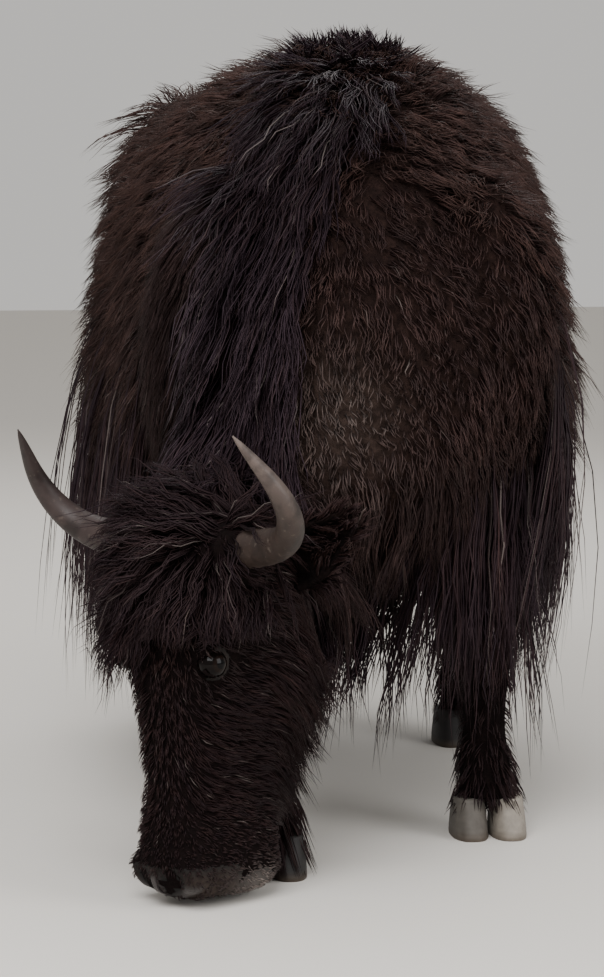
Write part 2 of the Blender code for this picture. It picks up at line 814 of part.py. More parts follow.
def shoulder_seeds(surface, rng):
    """Long locks at the front corners of the skirt, which close it where it is seen from the head."""
    seeds = []
    for side in (1.0, -1.0):
        for out, height, length in ((0.235, 0.60, 0.33), (0.290, 0.62, 0.40)):
            root, normal = on_surface(surface, vec(side * out, -1.0, height), vec(0.0, 1.0, 0.0))
            lie = vec(side * 0.10, 0.0, -1.0)
            long = length * rng.uniform(0.95, 1.05)
            seeds.append(seed(root, normal, lie, long, width=0.095, thick=0.026, droop=0.45, stand=0.020))
    return seeds


def back_seeds(surface, rng):
    """Short shaggy locks that break the line of the back and hips."""
    seeds = []
    rows = (
        # how far back, half spread, count
        (0.32, 0.18, 2),
        (0.50, 0.29, 4),
        (0.68, 0.27, 4),
    )
    for back, reach, count in rows:
        for x in spaced(-reach, reach, count):
            start = vec(TRUNK_SWAY * back + x + rng.uniform(-0.02, 0.02), back + rng.uniform(-0.03, 0.03), HIGH)
            root, normal = on_surface(surface, start, DOWN)
            lie = vec(x * 2.2, 1.0, -0.05)
            long = rng.uniform(0.12, 0.15)
            seeds.append(seed(root, normal, lie, long, width=0.060, thick=0.022, droop=0.06, steps=2,
                              stand=0.022, hug=0.55))
    return seeds


def hump_seeds(surface, rng):
    """The tuft on the hump: locks that part round it, and short ones that stand up and nod forwards."""
    seeds = []
    for angle in (-135.0, -75.0, -30.0, 30.0, 75.0, 135.0):
        turn = math.radians(angle)
        lie = vec(math.sin(turn), -math.cos(turn), 0.0)
        start = HUMP_TOP + vec(0.03 * math.sin(turn), -0.05 * math.cos(turn), 0.0)
        root, normal = on_surface(surface, start, DOWN)
        long = rng.uniform(0.12, 0.15)
        seeds.append(seed(root, normal, lie, long, width=0.065, thick=0.026, droop=0.15, hug=0.8))
    for aside, back in ((-0.030, 0.030), (0.000, 0.055), (0.034, 0.026)):
        root, normal = on_surface(surface, HUMP_TOP + vec(aside, back, 0.0), DOWN)
        lie = vec(aside * 4.0, -1.0, 0.42)
        seeds.append(seed(root, normal, lie, 0.080, width=0.050, thick=0.020, droop=0.15, steps=2, stand=0.0))
    return seeds


# Rows of the fringe: how far back, half spread, count, length
BREAST_FRINGE = (
    (-0.37, 0.09, 3, 0.26),
    (-0.26, 0.09, 3, 0.21),
)
BELLY_FRINGE = (
    (-0.02, 0.08, 2, 0.17),
    (0.22, 0.14, 2, 0.15),
    (0.46, 0.14, 2, 0.15),
)


def fringe_seeds(surface, rng, rows):
    """Locks that hang from the underside of the body, in rows across it."""
    seeds = []
    for back, half, count, length in rows:
        for x in spaced(-half, half, count):
            start = vec(x + rng.uniform(-0.01, 0.01), back + rng.uniform(-0.02, 0.02), 0.1)
            root, normal = on_surface(surface, start, UP)
            lie = vec(x * 0.5, rng.uniform(-0.1, 0.1), -1.0)
            long = length * rng.uniform(0.9, 1.1)
            seeds.append(seed(root, normal, lie, long, width=0.095, thick=0.028, droop=0.5, steps=2, stand=0.0))
    return seeds


def crest_places(count, first, last):
    """Places along the crest of the neck, with the way to the head, the way up and the way to the side."""
    rows = resampled([tuple(row[0]) for row in NECK], 8)
    crest = [Vector(row) for row in rows]
    places = []
    for share in spaced(first, last, count):
        index = min(len(crest) - 2, int(share * (len(crest) - 1)))
        ahead = (crest[index + 1] - crest[index]).normalized()
        crestward = (UP - ahead * ahead.dot(UP)).normalized()
        places.append((crest[index], ahead, crestward, ahead.cross(crestward).normalized()))
    return places


def mane_seeds(surface, rng, count, first, last):
    """Locks that fall to both sides of the crest, and lie along the neck."""
    seeds = []
    for here, ahead, crestward, side_way in crest_places(count, first, last):
        for side in (-1.0, 1.0):
            start = here + crestward * 0.25 + side_way * (side * 0.038 + rng.uniform(-0.008, 0.008))
            root, normal = on_surface(surface, start, -crestward)
            lie = ahead + side_way * side * rng.uniform(0.25, 0.55)
            long = 0.185 * rng.uniform(0.9, 1.1)
            seeds.append(seed(root, normal, lie, long, width=0.074, thick=0.026, droop=0.10, stand=0.018,
                              hug=0.75))
    return seeds


def neck_side_seeds(surface, rng):
    """Shorter locks over both sides of the neck, and the beard that hangs along its underside."""
    seeds = []
    rows = (
        # share of the way along the crest, how far below it, length
        (0.50, 0.13, 0.17),
        (0.66, 0.10, 0.16),
        (0.62, 0.24, 0.17),
        (0.80, 0.16, 0.15),
    )
    for share, below, length in rows:
        (here, ahead, crestward, side_way), = crest_places(1, share, share)
        for side in (-1.0, 1.0):
            start = here - crestward * below + side_way * side * 0.4
            root, normal = on_surface(surface, start, -side_way * side)
            lie = ahead * 0.35 + DOWN
            long = length * rng.uniform(0.9, 1.1)
            seeds.append(seed(root, normal, lie, long, width=0.070, thick=0.022, droop=0.15, stand=0.018,
                              hug=0.6))
    for share in (0.25, 0.75):
        middle = head_point(0.0, -0.30, 0.12).lerp(vec(-0.02, -0.38, 0.44), share)
        for offset in (-0.04, 0.04):
            start = middle + HEAD_OUT * offset + DOWN * 0.3
            root, normal = on_surface(surface, start, UP)
            lie = DOWN + HEAD_OUT * offset * 3.0
            long = 0.16 * rng.uniform(0.85, 1.1)
            seeds.append(seed(root, normal, lie, long, width=0.080, thick=0.024, droop=0.5, steps=2, stand=0.0))
    return seeds


def forelock_seeds(surface, rng):
    """Curly locks that fan out from the poll over the forehead, down to the eyes."""
    seeds = []
    tiers = (
        # distance along the face of the roots, half spread, count, length
        (-0.045, 0.050, 4, 0.130),
        (0.015, 0.075, 5, 0.115),
        (0.070, 0.075, 4, 0.095),
    )
    for along, spread, count, length in tiers:
        for out in spaced(-spread, spread, count):
            out += rng.uniform(-0.005, 0.005)
            start = head_point(out, 0.25, along)
            root, normal = on_surface(surface, start, -HEAD_FORWARD)
            lie = head_direction(out * 6.0, 0.0, 1.0)
            long = length * rng.uniform(0.88, 1.12)
            seeds.append(seed(root, normal, lie, long, width=0.054, thick=0.024, droop=0.20, stand=0.016,
                              hug=0.5))
    return seeds


def jaw_seeds(surface, rng):
    """The beard that hangs from the underside of the jaw and the throat."""
    seeds = []
    places = (
        # along the face, out to the side, length
        (0.10, -0.045, 0.140),
        (0.10, 0.045, 0.150),
        (0.18, -0.025, 0.110),
        (0.18, 0.040, 0.130),
        (0.27, 0.0, 0.085),
    )
    for along, out, length in places:
        start = head_point(out, -0.6, along)
        root, normal = on_surface(surface, start, HEAD_FORWARD)
        lie = head_direction(out * 2.0, -0.42, 1.0)
        long = length * rng.uniform(0.9, 1.1)
        seeds.append(seed(root, normal, lie, long, width=0.070, thick=0.024, droop=0.15, steps=2, stand=0.018))
    return seeds


def leg_seeds(name, surface, rng):
    """Hair that hangs round the leg above and below the knee or hock, and the tufts over the claws."""
    x, y = FEET[name]
    seeds = []
    bend = 0.02 if name.startswith("fore") else 0.09
    whorls = (
        # height of the roots, count, length, width, thickness, how far they stand out, droop
        (0.265, 4, 0.120, 0.090, 0.018, 0.14, 0.50),
        (FETLOCK_HEIGHT - 0.005, 4, 0.058, 0.076, 0.016, 0.75, 0.15),
    )
    for height, count, length, width, thick, spread, droop in whorls:
        for i in range(count):
            turn = 2.0 * math.pi * (i + 0.5 * (height < 0.2)) / count
            outward = vec(math.cos(turn), math.sin(turn), 0.0)
            middle = vec(x, y + (bend if height > 0.2 else 0.0), height + rng.uniform(-0.008, 0.008))
            root, normal = on_surface(surface, middle + outward * 0.3, -outward)
            lie = outward * spread + DOWN
            long = length * rng.uniform(0.9, 1.1)
            seeds.append(seed(root, normal, lie, long, width, thick, droop, steps=2, stand=0.004))
    return seeds


def tail_seeds(surface, path, rng):
    """The bush of the tail, in whorls down the dock."""
    seeds = []
    whorls = 3
    for w in range(whorls):
        share = 0.26 + 0.68 * w / (whorls - 1)
        here = path[min(len(path) - 2, int(share * (len(path) - 1)))]
        for i in range(4):
            turn = 2.0 * math.pi * (i + 0.5 * (w % 2)) / 4
            outward = vec(math.cos(turn), math.sin(turn), 0.0)
            root, normal = on_surface(surface, here + outward * 0.3, -outward)
            lie = outward * 0.22 + DOWN
            length = (0.20 + 0.08 * share) * rng.uniform(0.9, 1.1)
            seeds.append(seed(root, normal, lie, length, width=0.082, thick=0.026, droop=0.4, stand=0.010))
    return seeds


def tail_path():
    points = []
    for share in spaced(0.0, 1.0, 9):
        back = 0.125 * math.sin(math.pi * min(1.0, share * 0.9 + 0.02)) - 0.02
        points.append(TAIL_ROOT + vec(0.012 * share, back + 0.03 * share, -TAIL_LENGTH * share))
    return points


def tail_core(collection):
    path = tail_path()
    sections = []
    for i, place in enumerate(path):
        share = i / (len(path) - 1)
        ahead = (path[min(len(path) - 1, i + 1)] - path[max(0, i - 1)]).normalized()
        side = vec(1, 0, 0)
        radius = 0.040 - 0.020 * share
        sections.append((place, side, side.cross(ahead).normalized(), radius, radius, radius, 2.0))
    return loft("tail", sections, 8, collection), path


# Putting the yak together


def plane_cutter(name, place, facing, depth, size, collection):
    """A block whose one face lies on a plane, reaching away from it on the side that it faces."""
    bm = bmesh.new()
    bmesh.ops.create_cube(bm, size=1.0)
    turn = facing.to_track_quat("Z", "Y").to_matrix().to_4x4()
    shape = Matrix.Diagonal((size, size, depth, 1.0))
    move = Matrix.Translation(place + facing.normalized() * (depth / 2.0))
    bmesh.ops.transform(bm, matrix=move @ turn @ shape, verts=bm.verts[:])
    return add_object(name, bm, collection)


def neck_ends():
    """The planes where the neck meets the trunk and the head: a place on each and the way to the head."""
    to_head = vec(-0.35, -0.85, -0.35).normalized()
    at_trunk = vec(-0.06, -0.29, 0.70)
    at_head = head_point(0.0, -0.205, -0.005)
    into_head = (HEAD_FORWARD * 0.80 + HEAD_ALONG * 0.60).normalized()
    return (at_trunk, to_head), (at_head, into_head)


def build_flesh(collection):
    """The trunk, neck and head, each cut from its own skin by the same two planes, and the uncut skins."""
    (at_trunk, to_head), (at_head, into_head) = neck_ends()

    def body_pieces():
        return [*trunk_form(collection), loft("neck", neck_sections(3), 22, collection)]

    def skull_pieces():
        return [*head_form(collection), loft("neck", neck_sections(3), 22, collection)]

    torso = remesh(joined("torso", body_pieces(), collection), 0.018, 3, 900)
    torso_skin = surface_of(torso)
    boolean(torso, "DIFFERENCE", [plane_cutter("cut", at_trunk, to_head, 1.2, 1.6, collection)])

    neck = remesh(joined("neck", [*body_pieces(), *skull_pieces()], collection), 0.012, 2, 1340)
    neck_skin = surface_of(neck)
    boolean(neck, "DIFFERENCE", [plane_cutter("cut", at_trunk + to_head * SEAM, -to_head, 1.8, 2.4, collection)])
    boolean(neck, "DIFFERENCE", [plane_cutter("cut", at_head - into_head * SEAM, into_head, 0.7, 0.9, collection)])

    head = remesh(joined("head", skull_pieces(), collection), 0.0048, 2, 1850)
    head_skin = surface_of(head)
    boolean(head, "DIFFERENCE", [plane_cutter("cut", at_head, -into_head, 1.2, 1.6, collection)])
    return (torso, torso_skin), (neck, neck_skin), (head, head_skin)


def build(collection):
    rng = random.Random(SEED)
    nodes = {}

    def keep(name, obj, look):
        clean_up(obj)
        obj.name = name
        obj.data.name = name
        obj.data.materials.clear()
        obj.data.materials.append(finish(look))
        nodes[name] = obj
        return obj

    for foot in FEET:
        for place, inward in (("left", 1.0), ("right", -1.0)):
            keep(f"claw_{foot}_{place}", claw("claw", foot, inward, collection), "claw")
            keep(f"dewclaw_{foot}_{place}", dewclaw("dewclaw", foot, inward, collection), "claw")
    for name, side in (("left", 1.0), ("right", -1.0)):
        keep(f"horn_{name}", horn("horn", side, collection), "horn")
        keep(f"eye_{name}", eye("eye", side, collection), "eye")
        keep(f"ear_{name}", ear("ear", side, collection), "long_hair")

    for foot in FEET:
        leg = leg_core(foot, collection)
        skin = surface_of(leg)
        grow_locks(leg, "leg", leg_seeds(foot, skin, rng), skin, collection)
        feet = [n for k, n in nodes.items() if "claw" in k and foot in k]
        kind, place = foot.split("_")
        keep(f"{kind}leg_{place}", make_room(leg, feet, collection), "long_hair")

    (torso, torso_skin), (neck, neck_skin), (head, head_skin) = build_flesh(collection)
    for cutter in (mouth_cutter(collection), nostril_cutter(1.0, collection), nostril_cutter(-1.0, collection)):
        boolean(head, "DIFFERENCE", [cutter])
    seeds = forelock_seeds(head_skin, rng) + jaw_seeds(head_skin, rng)
    grow_locks(head, "head", seeds, head_skin, collection)
    worn = [nodes[k] for k in nodes if k.split("_")[0] in ("horn", "eye", "ear")]
    forelegs = [nodes[k] for k in nodes if k.startswith("foreleg")]
    keep("head", make_room(head, [*worn, *forelegs], collection), "wool")

    seeds = mane_seeds(neck_skin, rng, 4, 0.50, 0.80) + neck_side_seeds(neck_skin, rng)
    seeds += fringe_seeds(neck_skin, rng, BREAST_FRINGE)
    grow_locks(neck, "neck", seeds, neck_skin, collection)
    keep("neck", make_room(neck, [*worn, *forelegs, nodes["head"]], collection), "long_hair")

    tail, path = tail_core(collection)
    skin = surface_of(tail)
    grow_locks(tail, "tail", tail_seeds(skin, path, rng), skin, collection)
    keep("tail", tail, "long_hair")

    seeds = skirt_seeds(torso_skin, rng) + shoulder_seeds(torso_skin, rng) + back_seeds(torso_skin, rng)
    seeds += hump_seeds(torso_skin, rng) + mane_seeds(torso_skin, rng, 3, 0.10, 0.30)
    seeds += fringe_seeds(torso_skin, rng, BELLY_FRINGE)
    grow_locks(torso, "torso", seeds, torso_skin, collection)
    keep("torso", make_room(torso, list(nodes.values()), collection), "wool")
    return nodes


def centre_on_floor(nodes):
    """Moves every piece so that the middle of the footprint box is at the origin."""
    points = [v.co for obj in nodes for v in obj.data.vertices]
    shift = vec(*(-0.5 * (min(p[i] for p in points) + max(p[i] for p in points)) for i in (0, 1)), 0.0)
    for obj in nodes:
        obj.data.transform(Matrix.Translation(shift))


def main():
    for obj in list(bpy.data.objects):
        bpy.data.objects.remove(obj)
    yak = collection_of("yak")
    nodes = build(yak)
    centre_on_floor(list(nodes.values()))


main()
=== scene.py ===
# %% [markdown]
# # A life-size yak that grazes
#
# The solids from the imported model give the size, the stance, the horns and the feet. This lesson dresses
# them: one skin over the flesh, a coat of many thousand tapered strands, and finer horns, claws and eyes.
# Everything is in metres, +Z is up, the yak faces -Y and its left side is +X.

import math

import bmesh
import bpy
import numpy as np
from mathutils import Matrix, Vector
from mathutils.bvhtree import BVHTree
from mathutils.kdtree import KDTree


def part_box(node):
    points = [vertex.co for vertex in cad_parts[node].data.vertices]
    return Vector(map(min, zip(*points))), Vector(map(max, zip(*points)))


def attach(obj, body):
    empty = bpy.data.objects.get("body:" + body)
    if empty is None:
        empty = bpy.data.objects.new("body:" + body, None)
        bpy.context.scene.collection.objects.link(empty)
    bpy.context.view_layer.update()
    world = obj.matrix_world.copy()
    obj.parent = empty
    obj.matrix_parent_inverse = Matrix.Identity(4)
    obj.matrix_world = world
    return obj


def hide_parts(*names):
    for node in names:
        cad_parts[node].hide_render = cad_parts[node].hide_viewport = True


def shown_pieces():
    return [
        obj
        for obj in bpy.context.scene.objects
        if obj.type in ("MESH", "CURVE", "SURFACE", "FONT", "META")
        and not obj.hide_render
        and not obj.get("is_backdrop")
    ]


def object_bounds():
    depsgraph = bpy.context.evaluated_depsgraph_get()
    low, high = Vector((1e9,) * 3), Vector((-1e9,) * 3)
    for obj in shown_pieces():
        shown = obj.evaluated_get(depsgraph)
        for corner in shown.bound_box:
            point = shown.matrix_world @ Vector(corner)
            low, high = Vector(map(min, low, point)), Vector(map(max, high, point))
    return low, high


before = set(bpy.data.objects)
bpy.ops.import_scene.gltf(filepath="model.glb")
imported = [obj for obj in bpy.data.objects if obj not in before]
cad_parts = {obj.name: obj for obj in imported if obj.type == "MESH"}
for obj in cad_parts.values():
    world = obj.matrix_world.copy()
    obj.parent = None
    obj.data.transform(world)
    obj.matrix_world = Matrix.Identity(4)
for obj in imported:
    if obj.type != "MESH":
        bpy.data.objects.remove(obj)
SOLID_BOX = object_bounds()
RNG = np.random.default_rng(7)
UP = Vector((0.0, 0.0, 1.0))
print("solids", [round(c, 3) for c in SOLID_BOX[0]], [round(c, 3) for c in SOLID_BOX[1]])

# %% [markdown]
# ## A frame under the hump
#
# A yak is easiest to describe from the floor under the top of its hump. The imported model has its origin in
# the middle of the footprint instead, so the difference is read off one claw whose place is known in both.

# %% Find the floor under the hump
FEET = {
    "fore_left": (0.190, -0.130),
    "fore_right": (-0.151, -0.366),
    "hind_left": (0.270, 0.620),
    "hind_right": (-0.155, 0.880),
}
CLAW_FROM_FOOT = (0.0278, -0.021)
low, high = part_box("claw_fore_left_left")
HUMP_FOOT = Vector((
    (low.x + high.x) / 2 - FEET["fore_left"][0] - CLAW_FROM_FOOT[0],
    (low.y + high.y) / 2 - FEET["fore_left"][1] - CLAW_FROM_FOOT[1],
    0.0,
))
print("floor under the hump", [round(c, 4) for c in HUMP_FOOT])


def vec(*numbers):
    return Vector(numbers)


def smoothstep(share):
    share = np.clip(share, 0.0, 1.0)
    return share * share * (3.0 - 2.0 * share)


# %% [markdown]
# ## Camera
#
# The photograph was taken with a long lens from about the height of the back, so the perspective is flat
# and the hooves are seen from a little above. The camera stands where the lines of the body agree with it.

# %% Camera
PHOTO_HEIGHT = 977
FOCAL_PIXELS = 3732.0
CAMERA_HEIGHT = 1.076
HORIZON_ROW = 80.0
CAMERA_YAW = math.radians(6.0)
CAMERA_AWAY = 5.4
CAMERA_ASIDE = 0.062
SENSOR = 36.0

right_way = vec(math.cos(CAMERA_YAW), -math.sin(CAMERA_YAW), 0.0)
ahead_way = vec(math.sin(CAMERA_YAW), math.cos(CAMERA_YAW), 0.0)
pitch = math.atan((PHOTO_HEIGHT / 2 - HORIZON_ROW) / FOCAL_PIXELS)
camera_data = bpy.data.cameras.new("camera")
camera = bpy.data.objects.new("camera", camera_data)
bpy.context.scene.collection.objects.link(camera)
camera_data.sensor_width = SENSOR
camera_data.lens = FOCAL_PIXELS * SENSOR / PHOTO_HEIGHT
camera.location = HUMP_FOOT - right_way * CAMERA_ASIDE - ahead_way * CAMERA_AWAY + UP * CAMERA_HEIGHT
camera.rotation_mode = "QUATERNION"
camera.rotation_quaternion = (ahead_way * math.cos(pitch) - UP * math.sin(pitch)).to_track_quat("-Z", "Y")
bpy.context.scene.camera = camera
print("camera", [round(c, 3) for c in camera.location])


# %% [markdown]
# ## Finishes
#
# Every surface is one Principled shader, fed by a few procedural nodes. A small class holds the material while
# its nodes are joined, so that each finish further on reads like a recipe. What is the same all over a surface
# goes straight to the shader, and only what varies is worked out by nodes.

# %% A finish in the making
class Finish:
    """A material whose methods add a node and give back what comes out of it."""

    def __init__(self, name):
        self.made = bpy.data.materials.new(name)
        self.made.use_nodes = True
        self.nodes = self.made.node_tree.nodes
        self.links = self.made.node_tree.links

    def new(self, kind):
        return self.nodes.new("ShaderNode" + kind)

    def feed(self, node, inputs):
        """Sets each input to a number or a colour, or joins another node's socket to it."""
        for name, value in inputs.items():
            if isinstance(value, bpy.types.NodeSocket):
                self.links.new(value, node.inputs[name])
            else:
                node.inputs[name].default_value = (*value, 1.0) if isinstance(value, tuple) else value
        return node.outputs

    def done(self, inputs):
        self.feed(self.nodes["Principled BSDF"], inputs)
        return self.made

    def place(self):
        return self.new("TexCoord").outputs["Object"]

    def noise(self, scale, detail=3.0):
        inputs = {"Scale": scale, "Detail": detail, "Vector": self.place()}
        return self.feed(self.new("TexNoise"), inputs)["Fac"]

    def attribute(self, name):
        """The three numbers that a mesh keeps for each point under a name."""
        source = self.new("Attribute")
        source.attribute_name = name
        split = self.feed(self.new("SeparateColor"), {"Color": source.outputs["Color"]})
        return split["Red"], split["Green"], split["Blue"]

    def mix(self, factor, first, second):
        mix = self.new("Mix")
        mix.data_type = "RGBA"
        return self.feed(mix, {"Factor": factor, "A": first, "B": second})["Result"]

    def ranged(self, value, low, high, to_low, to_high):
        limits = {"From Min": low, "From Max": high, "To Min": to_low, "To Max": to_high}
        return self.feed(self.new("MapRange"), limits | {"Value": value})["Result"]

    def bump(self, height, strength, distance):
        inputs = {"Strength": strength, "Distance": distance, "Height": height}
        return self.feed(self.new("Bump"), inputs)["Normal"]


# %% [markdown]
# ## Floor and light
#
# A black coat needs a lot of soft light to show its strands. A large panel in front and above, on the animal's
# right, gives the highlights along the hair. A smaller one on its left fills the face, one behind draws the
# line of the back, and a pale world does the rest.

# %% Floor and lights
def panel(name, place, target, size, power):
    data = bpy.data.lights.new(name, "AREA")
    data.shape = "SQUARE"
    data.size = size
    data.energy = power
    lamp = bpy.data.objects.new(name, data)
    lamp.location = place
    lamp.rotation_mode = "QUATERNION"
    lamp.rotation_quaternion = (Vector(target) - Vector(place)).to_track_quat("-Z", "Y")
    bpy.context.scene.collection.objects.link(lamp)


bm = bmesh.new()
bmesh.ops.create_grid(bm, x_segments=1, y_segments=1, size=12.0)
floor_mesh = bpy.data.meshes.new("floor")
bm.to_mesh(floor_mesh)
bm.free()
floor = bpy.data.objects.new("floor", floor_mesh)
floor_mesh.materials.append(Finish("floor").done({"Base Color": (0.62, 0.59, 0.55), "Roughness": 0.9}))
bpy.context.scene.collection.objects.link(floor)
floor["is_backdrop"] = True

world = bpy.data.worlds.new("studio")
world.use_nodes = True
world.node_tree.nodes["Background"].inputs["Color"].default_value = (0.84, 0.82, 0.79, 1.0)
world.node_tree.nodes["Background"].inputs["Strength"].default_value = 0.75
bpy.context.scene.world = world
panel("key", (-1.4, -3.6, 3.6), (0.0, -0.3, 0.6), 3.2, 330.0)
panel("fill", (3.0, -3.0, 1.8), (0.0, -0.3, 0.6), 2.4, 110.0)
panel("rim", (0.6, 3.2, 3.4), (0.0, 0.2, 0.8), 3.6, 90.0)


# %% [markdown]
# ## The body under the hair
#
# The flesh is made of lofted forms: the trunk, the neck, the skull and the legs, with a few round bulges for
# shoulders, thighs and hips. Each loft is a row of circles, pressed to the section's shape and bridged.
# The numbers are the outside of the short coat, and the skin is moved inwards afterwards.

# %% Sections of the trunk, neck and head
# Trunk: how far back, top, belly, half width, height of the widest place, squareness above and below
TRUNK = (
    (-0.44, 0.780, 0.530, 0.070, 0.66, 2.0, 2.0),
    (-0.38, 0.880, 0.450, 0.160, 0.65, 2.1, 2.1),
    (-0.26, 1.000, 0.395, 0.240, 0.65, 2.2, 2.1),
    (-0.12, 1.085, 0.370, 0.285, 0.65, 2.2, 2.1),
    (0.02, 1.130, 0.360, 0.312, 0.66, 2.2, 2.1),
    (0.18, 1.115, 0.350, 0.338, 0.66, 2.5, 2.2),
    (0.36, 1.080, 0.345, 0.355, 0.65, 2.9, 2.2),
    (0.52, 1.066, 0.360, 0.355, 0.65, 3.3, 2.2),
    (0.66, 1.064, 0.400, 0.335, 0.68, 3.8, 2.3),
    (0.80, 1.030, 0.460, 0.290, 0.72, 3.2, 2.3),
    (0.94, 0.945, 0.540, 0.215, 0.74, 2.4, 2.2),
    (1.02, 0.860, 0.630, 0.120, 0.75, 2.0, 2.0),
)
TRUNK_SWAY = 0.045
# Neck: the crest from inside the hump to the poll, half width, depth above and below the neck's middle
NECK = (
    (0.0, 0.02, 1.03, 0.20, 0.20, 0.30),
    (-0.045, -0.13, 0.925, 0.190, 0.19, 0.32),
    (-0.125, -0.275, 0.765, 0.165, 0.17, 0.28),
    (-0.190, -0.395, 0.620, 0.145, 0.15, 0.235),
    (-0.225, -0.460, 0.530, 0.130, 0.135, 0.20),
)
# Head, along the face: front of the face, back of the head or jaw, half width, squareness
SKULL = (
    (-0.075, -0.055, -0.130, 0.050, 2.0),
    (-0.045, -0.010, -0.165, 0.092, 2.2),
    (0.00, 0.016, -0.195, 0.110, 2.4),
    (0.06, 0.028, -0.220, 0.112, 2.5),
    (0.12, 0.029, -0.240, 0.106, 2.4),
    (0.18, 0.025, -0.246, 0.093, 2.3),
    (0.25, 0.020, -0.228, 0.075, 2.3),
    (0.32, 0.018, -0.198, 0.064, 2.3),
    (0.38, 0.020, -0.180, 0.062, 2.4),
    (0.425, 0.022, -0.175, 0.065, 2.6),
    (0.454, 0.012, -0.166, 0.056, 2.6),
    (0.467, -0.008, -0.146, 0.036, 2.4),
)
HEAD_PLACE = vec(-0.3135, -0.558, 0.4745)
HEAD_TURN = math.radians(55.0)
HEAD_PITCH = math.radians(-0.5)
HEAD_ROLL = math.radians(3.0)


def head_axes():
    """Out to the animal's left, forward out of the face, and along the face to the muzzle."""
    out = vec(math.cos(HEAD_TURN), -math.sin(HEAD_TURN), 0.0)
    forward = vec(-math.sin(HEAD_TURN), -math.cos(HEAD_TURN), 0.0)
    turn = Matrix.Rotation(HEAD_ROLL, 3, forward) @ Matrix.Rotation(HEAD_PITCH, 3, out)
    return turn @ out, turn @ forward, turn @ -UP


HEAD_OUT, HEAD_FORWARD, HEAD_ALONG = head_axes()
HEAD_AXES = (HEAD_OUT, HEAD_FORWARD, HEAD_ALONG)
ACROSS_WAY, BACK_WAY = vec(1, 0, 0), vec(0, 1, 0)
LEVEL_AXES = (ACROSS_WAY, BACK_WAY, UP)


def head_point(out, forward, along):
    return HEAD_PLACE + HEAD_OUT * out + HEAD_FORWARD * forward + HEAD_ALONG * along


def beside(side, place):
    """A place on the head that is given for the left, on the side that is asked for."""
    return head_point(side * place[0], place[1], place[2])


def head_direction(out, forward, along):
    return (HEAD_OUT * out + HEAD_FORWARD * forward + HEAD_ALONG * along).normalized()


def smooth_rows(rows, steps):
    """Rows of numbers joined by a smooth curve, with steps stretches between each pair."""
    rows = np.array(rows, float)
    last = len(rows) - 1
    out = []
    for i in range(last):
        a, b, c, d = (rows[min(last, max(0, i + k))] for k in (-1, 0, 1, 2))
        for t in np.arange(steps) / steps:
            out.append(0.5 * (2 * b + (c - a) * t + (2 * a - 5 * b + 4 * c - d) * t ** 2
                              + (3 * b - a - 3 * c + d) * t ** 3))
    out.append(rows[-1])
    return np.array(out)


# %% Lofts made of pressed circles
def press_ring(bm, section, sides):
    """Adds one circle pressed to a section: centre, side, up, half, rise, drop, power above and below."""
    centre, side, up, half, rise, drop, above, below = section
    made = bmesh.ops.create_circle(bm, segments=sides, radius=1.0)["verts"]
    for vert in made:
        across, height = vert.co.x, vert.co.y
        power = above if height > 0 else below
        across = math.copysign(abs(across) ** (2.0 / power), across) * half
        height = math.copysign(abs(height) ** (2.0 / power), height) * (rise if height > 0 else drop)
        vert.co = centre + side * across + up * height
    return list({edge for vert in made for edge in vert.link_edges})


def loft_into(bm, sections, sides):
    """A closed form through pressed circles."""
    rings = [press_ring(bm, section, sides) for section in sections]
    for first, second in zip(rings, rings[1:]):
        bmesh.ops.bridge_loops(bm, edges=first + second)
    for end in (rings[0], rings[-1]):
        bmesh.ops.holes_fill(bm, edges=end, sides=0)


def ball_into(bm, centre, axes, radii, segments=28, rings=18):
    """A ball stretched along three axes."""
    made = bmesh.ops.create_uvsphere(bm, u_segments=segments, v_segments=rings, radius=1.0)["verts"]
    turn = Matrix([[a[i] * r for a, r in zip(axes, radii)] for i in range(3)]).to_4x4()
    bmesh.ops.transform(bm, matrix=Matrix.Translation(centre) @ turn, verts=made)


def rod_into(bm, points, radius, sides=8):
    """A soft ridge along a line, such as a lid or a lip."""
    sections = []
    for i, point in enumerate(points):
        ahead = (points[min(len(points) - 1, i + 1)] - points[max(0, i - 1)]).normalized()
        side = ahead.orthogonal().normalized()
        share = abs(2.0 * i / (len(points) - 1) - 1.0)
        size = radius * (1.0 - 0.5 * share ** 3)
        sections.append((point, side, side.cross(ahead), size, size, size, 2.0, 2.0))
    loft_into(bm, sections, sides)


def object_from(bm, name):
    """An object whose faces all look outwards."""
    bmesh.ops.recalc_face_normals(bm, faces=bm.faces[:])
    mesh = bpy.data.meshes.new(name)
    bm.to_mesh(mesh)
    bm.free()
    made = bpy.data.objects.new(name, mesh)
    bpy.context.scene.collection.objects.link(made)
    return made


def settle(obj):
    """Applies an object's modifiers to its mesh."""
    graph = bpy.context.evaluated_depsgraph_get()
    graph.update()
    old = obj.data
    mesh = bpy.data.meshes.new_from_object(obj.evaluated_get(graph))
    obj.modifiers.clear()
    obj.data = mesh
    bpy.data.meshes.remove(old)
    return obj


def one_skin(obj, voxel, smoothing):
    """One even skin over forms that overlap, smoothed."""
    modifier = obj.modifiers.new("skin", "REMESH")
    modifier.mode = "VOXEL"
    modifier.voxel_size = voxel
    modifier = obj.modifiers.new("smooth", "SMOOTH")
    modifier.factor = 0.5
    modifier.iterations = smoothing
    return settle(obj)


# %% Forms of the trunk, neck and legs
def trunk_sections():
    return [(vec(TRUNK_SWAY * back, back, wide), ACROSS_WAY, UP, half, top - wide, wide - bottom, above, below)
            for back, top, bottom, half, wide, above, below in smooth_rows(TRUNK, 4)]


NECK_ROWS = smooth_rows(NECK, 5)


